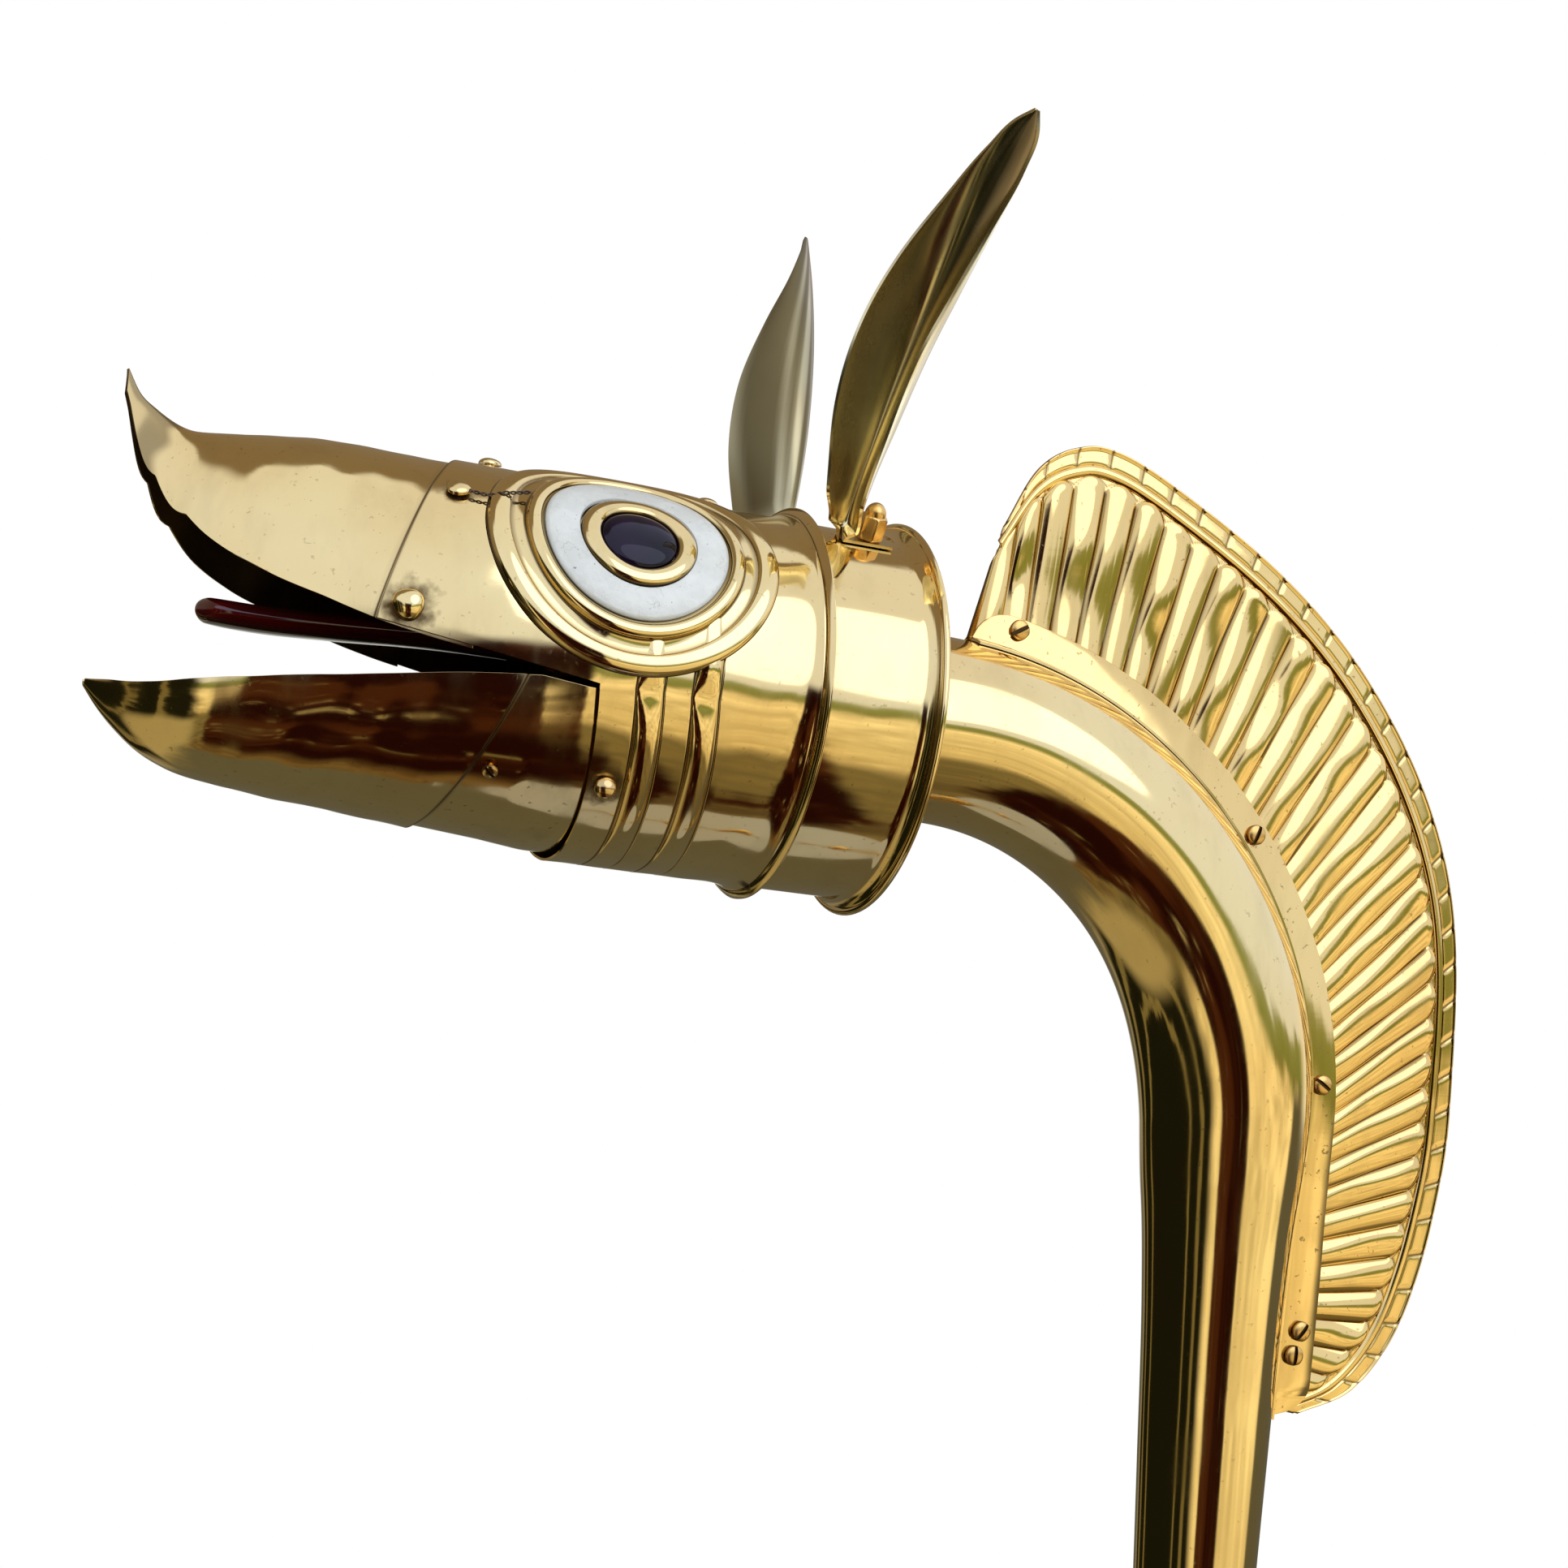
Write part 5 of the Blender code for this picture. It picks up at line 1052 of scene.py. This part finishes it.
def make_eyes():
    """Both eyes: a plate with two rolled rings, an enamel ring, a rolled bezel and a domed stone."""
    roll = np.linspace(0, math.pi, 13)
    for word, side in (("left", -1), ("right", 1)):
        inner = [(0.0400 - 0.0028 * math.cos(t), 0.0026 + 0.0026 * math.sin(t) ** 0.8) for t in roll]
        outer = [(0.0527 - 0.0040 * math.cos(t), 0.0019 + 0.0018 * math.sin(t) ** 0.8) for t in roll]
        plate = ([(0.0, 0.0028), (0.0366, 0.0028)] + inner
                 + [(0.0432, 0.0021), (0.0440, 0.0018), (0.0466, 0.0017), (0.0480, 0.0016)] + outer
                 + [(0.0573, 0.0016), (0.0575, 0.0012)])
        eye_ring("eye_rings_" + word, plate, 0.0009, side, "eye", "polished_brass", "eye_plate_" + word,
                 grooves=(0.0368, 0.0432, 0.0484, 0.0574))
        enamel = [(0.0228, 0.0043), (0.0232, 0.0048), (0.0300, 0.0049), (0.0345, 0.0045), (0.0358, 0.0040),
                  (0.0362, 0.0036)]
        eye_ring("eye_glaze_" + word, enamel, 0.0033, side, "enamel", "enamel", "eye_enamel_" + word,
                 grooves=(0.0363,))
        hoop = [(0.0189 - 0.0038 * math.cos(t), 0.0044 + 0.0026 * math.sin(t) ** 0.8) for t in roll]
        eye_ring("eye_hoop_" + word, hoop, 0.0033, side, "eye", "polished_brass", "eye_bezel_" + word, 0.88, 1.0,
                 grooves=(0.0151, 0.0227))
        dome = domed(0.0150, 0.0034, 0.0044, 1.45, 16)
        eye_ring("eye_gem_" + word, dome, 0.0033, side, "stone", "stone", "eye_stone_" + word, 0.86, 1.0)


# Ears

EAR_WIDTHS = ((0.0, 0.0058), (0.08, 0.0066), (0.18, 0.0084), (0.32, 0.0118), (0.48, 0.0138), (0.64, 0.0145),
              (0.78, 0.0129), (0.90, 0.0104), (0.97, 0.0062), (1.0, 0.0010))
EAR_DEPTHS = ((0.0, 0.0235), (0.08, 0.0275), (0.18, 0.0316), (0.32, 0.0340), (0.48, 0.0304), (0.64, 0.0191),
              (0.78, 0.0089), (0.90, 0.0030), (0.97, 0.0012), (1.0, 0.0006))


def ear_stud(side):
    """The stud's foot on the collar and its outward axis, in the head frame."""
    a = math.radians(STUD_ANGLE)
    out = np.array([0, side * math.cos(a), math.sin(a)])
    return np.array([STUD_X, 0, 0]) + out * (HEAD_RADIUS + FIT), out


def make_ear(word, side):
    """The ear: a hollow, w sin a / sin b across and d (1 - cos a) deep, a from -b to b, turning as it rises.

    Its foot is a flat strip under the nut, bent up at the front into the leaf.
    """
    foot, out = ear_stud(side)
    lean, back = math.radians(29.7), math.radians(7.5)
    along = unit(np.array([math.sin(back), side * math.sin(lean) * math.cos(back),
                           math.cos(lean) * math.cos(back)]))
    s = joined(np.linspace(0, 0.12, 20), np.linspace(0.12, 0.9, 52), np.linspace(0.9, 1.0, 22))
    turn = np.radians(73.0 + (28.0 - 73.0) * s)
    facing = np.stack([-np.cos(turn), side * np.sin(turn), 0 * turn], axis=-1)
    facing = unit(facing - (facing @ along)[:, None] * along)
    across = np.cross(along[None], facing) * -side
    c = np.linspace(-1, 1, 41)
    a = np.radians(84.0 * (0.40 + 0.60 * ease(s / 0.14)))[:, None] * c[None]
    width, depth = curve(s, EAR_WIDTHS)[:, None, None], curve(s, EAR_DEPTHS)[:, None, None]
    leaf = (across[:, None] * width * (np.sin(a) / np.sin(a[:, -1:]))[..., None]
            + facing[:, None] * depth * (1 - np.cos(a))[..., None])
    leaf = leaf + np.array([0, -side * 0.0174 * 4, 0]) * (s * (1 - s))[:, None, None]
    rear = np.array([1.0, 0, 0])
    wide = np.cross(out, rear) * side
    strip = wide * (0.00575 * c)[:, None]
    level = foot + out * 0.0006
    share = ease(s / 0.035)[:, None, None]
    blade = (level - rear * 0.0115 + along * (sizes().ear_length * s)[:, None, None] + leaf * share
             + strip * (1 - share))
    bend = np.linspace(0, 1, 7)[:-1, None]
    base = level + rear * (0.0090 - 0.0205 * bend)[..., None] + strip[None]
    rows = np.concatenate([base, blade])
    # Painted shade: the ear darkens in streaks, the right ear much more than the left, and its foot a little.
    streak = 0.5 + 0.5 * np.sin(11 * c + 2.1 * np.sin(5 * c + 1.0) + 0.9)[None] * np.cos(2.4 * s + 6 * c[None].T).T
    floor, span = (0.0, 0.40) if side < 0 else (0.52, 0.42)
    dark = (floor + span * ease((streak - 0.25) / 0.5)) * ease(s / 0.15)[:, None]
    dark = np.concatenate([np.full((6, 41), 0.15), dark])
    piece = sheet_piece("ear_leaf_" + word, tip_up(rows), "ear", -0.0012, flip=side < 0, edge=0.0004, wear_and_shade=dark)
    piece.modifiers["sheet"].offset = 0.0
    settle(piece, "ear_" + word, "polished_brass", "ear_" + word)


def make_cap_nut(word, side):
    """The domed cap nut: a hexagon whose corners are turned off, r = min(hexagon, cone), under a round dome."""
    foot, out = ear_stud(side)
    matrix = in_head(standing(Vector(foot + out * 0.0018), Vector(out)))
    turn = circle(96)
    flat = 0.0049 / np.cos((turn + math.pi / 6) % (math.pi / 3) - math.pi / 6)
    levels = [(0.0, 0.0), (0.0, 0.0052), (0.0006, 0.0056), (0.0086, 0.0057), (0.0092, 0.0052), (0.0096, 0.0047),
              (0.0098, 0.0044)]
    dome = [(0.0096 + 0.0052 * math.sin(t), 0.0044 * math.cos(t)) for t in np.linspace(0.05, math.pi / 2, 12)]
    rows = [np.stack([np.minimum(flat, r) * np.cos(turn), np.minimum(flat, r) * np.sin(turn), 0 * turn + z],
                     axis=-1) for z, r in levels + dome]
    piece = solid_piece("cap_nut_" + word, moved(np.array(rows), matrix), "fastener", angle=25)
    settle(piece, "horn", "fastener_brass", "ear_nut_" + word)


def make_ears():
    """Both ears and the nuts over their feet."""
    for word, side in SIDES:
        make_ear(word, side)
        make_cap_nut(word, side)


# Rivets, hinge screws and the brow wire

RIVETS = (("snout_rivet_low", -0.2100, 8.0, 0.0058, 0.0042, 2),
          ("snout_rivet_high", -0.1930, 50.0, 0.0046, 0.0024, 2),
          ("crown_rivet_front", -0.1725, 90.0, 0.0046, 0.0026, 1),
          ("crown_rivet_rear", -0.0820, 90.0, 0.0046, 0.0026, 1))


def skin_frame(near, outward, lift, side):
    """A frame over the first of three near points of a skin, its Z to the outward side."""
    n = unit(np.cross(near[1] - near[0], near[2] - near[0]))
    n = n if n @ np.array(outward) > 0 else -n
    flip = np.array([1, -side, 1])
    return in_head(standing(Vector((near[0] + n * lift) * flip), Vector(n * flip)))


def make_rivets():
    """Domed rivets, each a little uneven as if set by hand."""
    for stem, x, angle, radius, height, sides in RIVETS:
        near = head_point(np.array([x, x + 0.001, x]), np.array([angle, angle, angle + 1.0]), 0.0013)
        outward = (0, -math.cos(math.radians(angle)), math.sin(math.radians(angle)))
        profile = domed(radius, height * 0.88, height * 0.12) + [
            (radius, 0.0), (radius * 0.42, 0.0), (radius * 0.42, -0.0040), (0.0, -0.0040)]
        for word, side in SIDES[:sides]:
            name = stem + ("_" + word if sides == 2 else "")
            grid = turned_grid(profile, 40, skin_frame(near, outward, 0.0, side))
            uneven = 1 + 0.05 * np.sin(3 * circle(40) + x * 900)
            centre = grid.mean(axis=1, keepdims=True)
            grid = centre + (grid - centre) * uneven[None, :, None]
            settle(solid_piece("set_" + name, grid, "rivet"), "horn", "polished_brass", name)


def make_jaw_screws():
    """The jaw's two domed hinge screws in the throat, and the small slotted screws through its seam."""
    a = math.radians(HINGE_ANGLE)
    near = jaw_point(np.array([-0.1700, -0.1690, -0.1700]), np.array([36.0, 36.0, 37.0]))
    profile = domed(0.0043, 0.0026, 0.0002) + [(0.0043, 0.0), (0.0020, 0.0), (0.0020, -0.0120), (0.0, -0.0120)]
    for word, side in SIDES:
        point = (HINGE_X, side * (HEAD_RADIUS * math.cos(a) + 0.0036), HEAD_RADIUS * math.sin(a))
        matrix = in_head(standing(point, (0, side, 0)))
        piece = solid_piece("hinge_screw_" + word, turned_grid(profile, 40, matrix), "screw")
        settle(piece, "horn", "fastener_brass", "jaw_pivot_" + word)
        matrix = skin_frame(near, (0, -1, 0), 0.0004, side)
        piece = slotted_head("seam_screw_" + word, matrix, 0.0030, 0.0014, 0.7 * side, 0.0013, 0.0050, "screw")
        settle(piece, "lower_jaw", "polished_brass", "jaw_screw_" + word)


def make_brow_wire():
    """Two dark wires twisted together over the lap: tubes whose centre lines turn round one another."""
    t = np.linspace(0, 1, 140)
    tubes = []
    for strand in (0, math.pi):
        twist = t * math.tau * 5 + strand
        x = -0.1925 + 0.0265 * t
        angle = 49.5 + 1.0 * t - 2.0 * np.sin(t * math.pi)
        lift = 0.0020 + 0.00040 * np.sin(twist) + 0.0022 * ease((t - 0.35) / 0.3)
        path = head_point(x, angle + 0.45 * np.cos(twist), lift)
        along = unit(np.gradient(path, axis=0))
        side = unit(np.cross(along, np.array([0.0, 0.0, 1.0])))
        up = np.cross(side, along)
        turn = circle(10)[None, :, None]
        end = root(1 - np.abs(2 * t - 1) ** 40)[:, None, None] * 0.00034 + 1e-6
        tubes.append(path[:, None] + end * (np.cos(turn) * side[:, None] + np.sin(turn) * up[:, None]))
    mesh = closed([grid_mesh("brow_wire", tip_up(tube), True) for tube in tubes], fill=True)
    settle(add("brow_wire", mesh, "wire"), "horn", "fastener_brass")


def dress_left_over_nodes():
    """Give each CAD node that still shows its own worked material."""
    wanted = {"crest_nut": "fastener", "ear_stud": "fastener", "tongue_pin": "rivet"}
    for name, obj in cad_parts.items():
        if obj.hide_render:
            continue
        material = next((MATERIALS[m] for stem, m in wanted.items() if name.startswith(stem)), "collar")
        obj.data.materials.clear()
        obj.data.materials.append(material)


# Stage

def look_world():
    """Soft sky over sandy ground with a green line between, dim overhead and to the left.

    One plain dark patch in front, two posts and a shaded strip at the left give the brass its darks.
    The camera sees plain white.
    """
    world = bpy.data.worlds.new("studio")
    bpy.context.scene.world = world
    world.use_nodes = True
    tree = world.node_tree
    tree.nodes.clear()
    sky = Value(tree, new_node(tree, "TexCoord").outputs["Generated"])
    right, front, height = (
        sky.node("VectorMath", {0: sky, 1: way}, "Value", operation="DOT_PRODUCT")
        for way in ((0.939, -0.343, 0.0), (-0.343, -0.939, 0.0), (0.0, 0.0, 1.0)))
    rough = sky.noise(5.0, 6.0, 0.62) - 0.5
    wobble = rough * 0.16
    bands = new_node(tree, "ValToRGB", {0: (height + wobble + 1.0) * 0.5})
    ramp = bands.color_ramp
    stops = ((-1.0, (0.10, 0.05, 0.02)), (-0.90, (0.12, 0.10, 0.055)), (-0.60, (0.17, 0.145, 0.075)),
             (-0.50, (0.95, 0.80, 0.50)), (-0.40, (1.10, 0.95, 0.62)), (-0.09, (1.25, 1.12, 0.82)),
             (-0.04, (0.22, 0.27, 0.08)), (0.03, (0.30, 0.34, 0.14)), (0.06, (0.86, 0.95, 1.24)),
             (0.60, (0.86, 0.95, 1.26)), (1.0, (0.84, 0.90, 1.12)))
    for i, (place, shade) in enumerate(stops):
        stop = ramp.elements[i] if i < 2 else ramp.elements.new((place + 1) / 2)
        stop.position, stop.color = (place + 1) / 2, (*shade, 1)
    drift = sky.noise(4.0, 8.0, 0.7, (1.0, 1.0, 5.0)).step(0.35, 0.65) * height.step(0.0, -0.08)
    ground = blend(drift * 0.55, Value(tree, bands.outputs[0]), (0.30, 0.23, 0.10, 1))
    wide = right + wobble
    posts = abs(wide + 0.60).step(0.040, 0.016).larger(abs(wide + 0.80).step(0.028, 0.0112))
    high = height.step(0.10, 0.34)
    shade = blend(posts, (0.010, 0.010, 0.005, 1), (0.20, 0.165, 0.075, 1))
    shade = blend(height.step(-0.58, -0.70), shade, (0.40, 0.34, 0.20, 1))
    left = (wide + high * 0.43).step(-0.30, -0.50)
    room = blend(left, ground, blend(high, shade, (0.30, 0.28, 0.21, 1)))
    patch = abs(wide - 0.10).step(0.34, 0.28) * front.step(0.0, 0.2) * height.step(0.22, 0.12)
    slow = sky.noise(2.6, 4.0).step(0.45, 0.62)
    room = blend(patch * rough.step(0.20, 0.08), room,
                 blend(slow, (0.016, 0.003, 0.002, 1), (0.060, 0.018, 0.007, 1)))
    over = (front + wide * 1.3).step(0.0, -0.12) * front.step(0.40, 0.25) * height.step(0.0, 0.08)
    room = blend(over, room, (0.25, 0.20, 0.145, 1))
    low = front.step(-0.02, -0.12) * height.step(-0.02, -0.10) * wide.step(-0.50, -0.30)
    room = blend(low, room, (0.12, 0.115, 0.09, 1))
    path = {socket.name: Value(tree, socket) for socket in new_node(tree, "LightPath").outputs}
    backdrop = front.step(-0.3, -0.6) * right.step(-0.4, 0.1) * abs(height).step(0.16, 0.06)
    seen = path["Is Glossy Ray"] * backdrop + path["Is Camera Ray"]
    seen = seen.maths("ADD", path["Is Transmission Ray"], True)
    studio, white = (sky.node("Background", {0: fill}) for fill in (room, (1, 1, 1, 1)))
    out = new_node(tree, "OutputWorld")
    seen.node("MixShader", {0: seen, 1: studio, 2: white}).into(out.inputs[0])


def make_floor():
    """A round pale floor under the mouthpiece."""
    turn = circle(96)[None]
    r = np.linspace(0.0001, 0.30, 12)[:, None]
    points = np.stack([r * np.cos(turn), r * np.sin(turn), 0 * r * turn + FLOOR_Z], axis=-1)
    add("floor", grid_mesh("floor", points, True), "floor")


def make_camera():
    """The photograph's own view: 1.11 m from the collar's rim, low and a little rolled."""
    azimuth, rise, roll = (math.radians(a) for a in (-20.0625, -2.1286, 4.1365))
    distance, focal_pixels, picture_pixels, sensor = 1.11220, 3355.09, 1932, 36
    back = np.array([math.sin(azimuth) * math.cos(rise), -math.cos(azimuth) * math.cos(rise), math.sin(rise)])
    right = np.array([math.cos(azimuth), math.sin(azimuth), 0.0])
    up = np.cross(back, right)
    right, up = math.cos(roll) * right + math.sin(roll) * up, math.cos(roll) * up - math.sin(roll) * right
    place = np.array([REAR_X - 0.035437, 0.0, HEAD_Z - 0.029455]) + back * distance
    camera = bpy.data.objects.new("camera", bpy.data.cameras.new("camera"))
    camera.data.sensor_width = sensor
    camera.data.lens = sensor * focal_pixels / picture_pixels
    camera.matrix_world = Matrix.Translation(place) @ Matrix((right, up, back)).transposed().to_4x4()
    scene = bpy.context.scene
    scene.collection.objects.link(camera)
    scene.camera = camera
    scene.view_settings.view_transform = "Standard"


def make_lamps():
    """Two large soft lamps: a key from the animal's left and above, a fill from behind."""
    for name, place, energy, size in (("key", (0.83, -2.62, 2.8), 31.0, 3.2), ("fill", (1.8, 1.6, 1.8), 3.0, 1.4)):
        data = bpy.data.lights.new(name, "AREA")
        data.energy, data.size, data.shape, data.color = energy, size, "DISK", (0.70, 0.77, 1.0)
        lamp = bpy.data.objects.new(name, data)
        aim = Vector((-0.2, 0.0, 0.9)) - Vector(place)
        lamp.matrix_world = Matrix.Translation(place) @ aim.to_track_quat("-Z", "Y").to_matrix().to_4x4()
        bpy.context.scene.collection.objects.link(lamp)


# Operators and panel

class Maker:
    """What every operator here does: run its steps in order."""
    steps = ()

    def execute(self, context):
        for step in self.steps:
            step()
        return {"FINISHED"}


class CARNYX_OT_finishes(Maker, bpy.types.Operator):
    """Build the brass, enamel, stone and lacquer materials"""
    bl_idname = "carnyx.finishes"
    bl_label = "Finishes"
    steps = (make_materials,)


class CARNYX_OT_head(Maker, bpy.types.Operator):
    """Make the head's sheet and the snout"""
    bl_idname = "carnyx.head"
    bl_label = "Head and snout"
    steps = (make_head_skin, make_snout_skin)


class CARNYX_OT_jaw(Maker, bpy.types.Operator):
    """Make the lower jaw's two sheets"""
    bl_idname = "carnyx.jaw"
    bl_label = "Lower jaw"
    steps = (make_jaw_front, make_jaw_rear)


class CARNYX_OT_tongue(Maker, bpy.types.Operator):
    """Make the tongue"""
    bl_idname = "carnyx.tongue"
    bl_label = "Tongue"
    steps = (make_tongue,)


class CARNYX_OT_tube(Maker, bpy.types.Operator):
    """Make the collar, the neck, the tubes and their rings"""
    bl_idname = "carnyx.tube"
    bl_label = "Collar and tube"
    steps = (make_collar, make_neck, make_tubes)


class CARNYX_OT_mouthpiece(Maker, bpy.types.Operator):
    """Make the mouthpiece"""
    bl_idname = "carnyx.mouthpiece"
    bl_label = "Mouthpiece"
    steps = (make_mouthpiece,)


class CARNYX_OT_crest(Maker, bpy.types.Operator):
    """Make the reeded crest, its two flanges and their screws"""
    bl_idname = "carnyx.crest"
    bl_label = "Crest"
    steps = (make_crest, make_flanges, make_crest_screws)


class CARNYX_OT_eyes(Maker, bpy.types.Operator):
    """Make both eyes"""
    bl_idname = "carnyx.eyes"
    bl_label = "Eyes"
    steps = (make_eyes,)


class CARNYX_OT_ears(Maker, bpy.types.Operator):
    """Make both ears and their cap nuts"""
    bl_idname = "carnyx.ears"
    bl_label = "Ears"
    steps = (make_ears,)


class CARNYX_OT_fixings(Maker, bpy.types.Operator):
    """Make the rivets, the hinge and seam screws and the brow wire"""
    bl_idname = "carnyx.fixings"
    bl_label = "Rivets and screws"
    steps = (make_rivets, make_jaw_screws, make_brow_wire, dress_left_over_nodes)


class CARNYX_OT_stage(Maker, bpy.types.Operator):
    """Set up the floor, the studio, the lamps and the camera"""
    bl_idname = "carnyx.stage"
    bl_label = "Stage"
    steps = (look_world, make_floor, make_lamps, make_camera)


OPERATORS = (CARNYX_OT_finishes, CARNYX_OT_head, CARNYX_OT_jaw, CARNYX_OT_tongue, CARNYX_OT_tube,
             CARNYX_OT_mouthpiece, CARNYX_OT_crest, CARNYX_OT_eyes, CARNYX_OT_ears, CARNYX_OT_fixings,
             CARNYX_OT_stage)


class CARNYX_PT_panel(bpy.types.Panel):
    """Carnyx sizes, colours and pieces"""
    bl_label = "Carnyx"
    bl_idname = "CARNYX_PT_panel"
    bl_space_type = "VIEW_3D"
    bl_region_type = "UI"
    bl_category = "Carnyx"

    def draw(self, context):
        for settings in (context.scene.carnyx_sizes, context.scene.carnyx_finish):
            for label in settings.__annotations__:
                self.layout.prop(settings, label)
        for operator in OPERATORS:
            self.layout.operator(operator.bl_idname)


CLASSES = (CarnyxSizes, CarnyxFinish, *OPERATORS, CARNYX_PT_panel)


def register():
    """Register the classes and hang the settings on the scene."""
    for made in CLASSES:
        bpy.utils.register_class(made)
    bpy.types.Scene.carnyx_sizes = bpy.props.PointerProperty(type=CarnyxSizes)
    bpy.types.Scene.carnyx_finish = bpy.props.PointerProperty(type=CarnyxFinish)


def unregister():
    """Undo register."""
    del bpy.types.Scene.carnyx_finish
    del bpy.types.Scene.carnyx_sizes
    for made in reversed(CLASSES):
        bpy.utils.unregister_class(made)


def main():
    """Make every piece in order."""
    register()
    for operator in OPERATORS:
        group, name = operator.bl_idname.split(".")
        getattr(getattr(bpy.ops, group), name)()
    bpy.context.view_layer.update()


if __name__ == "__main__":
    main()
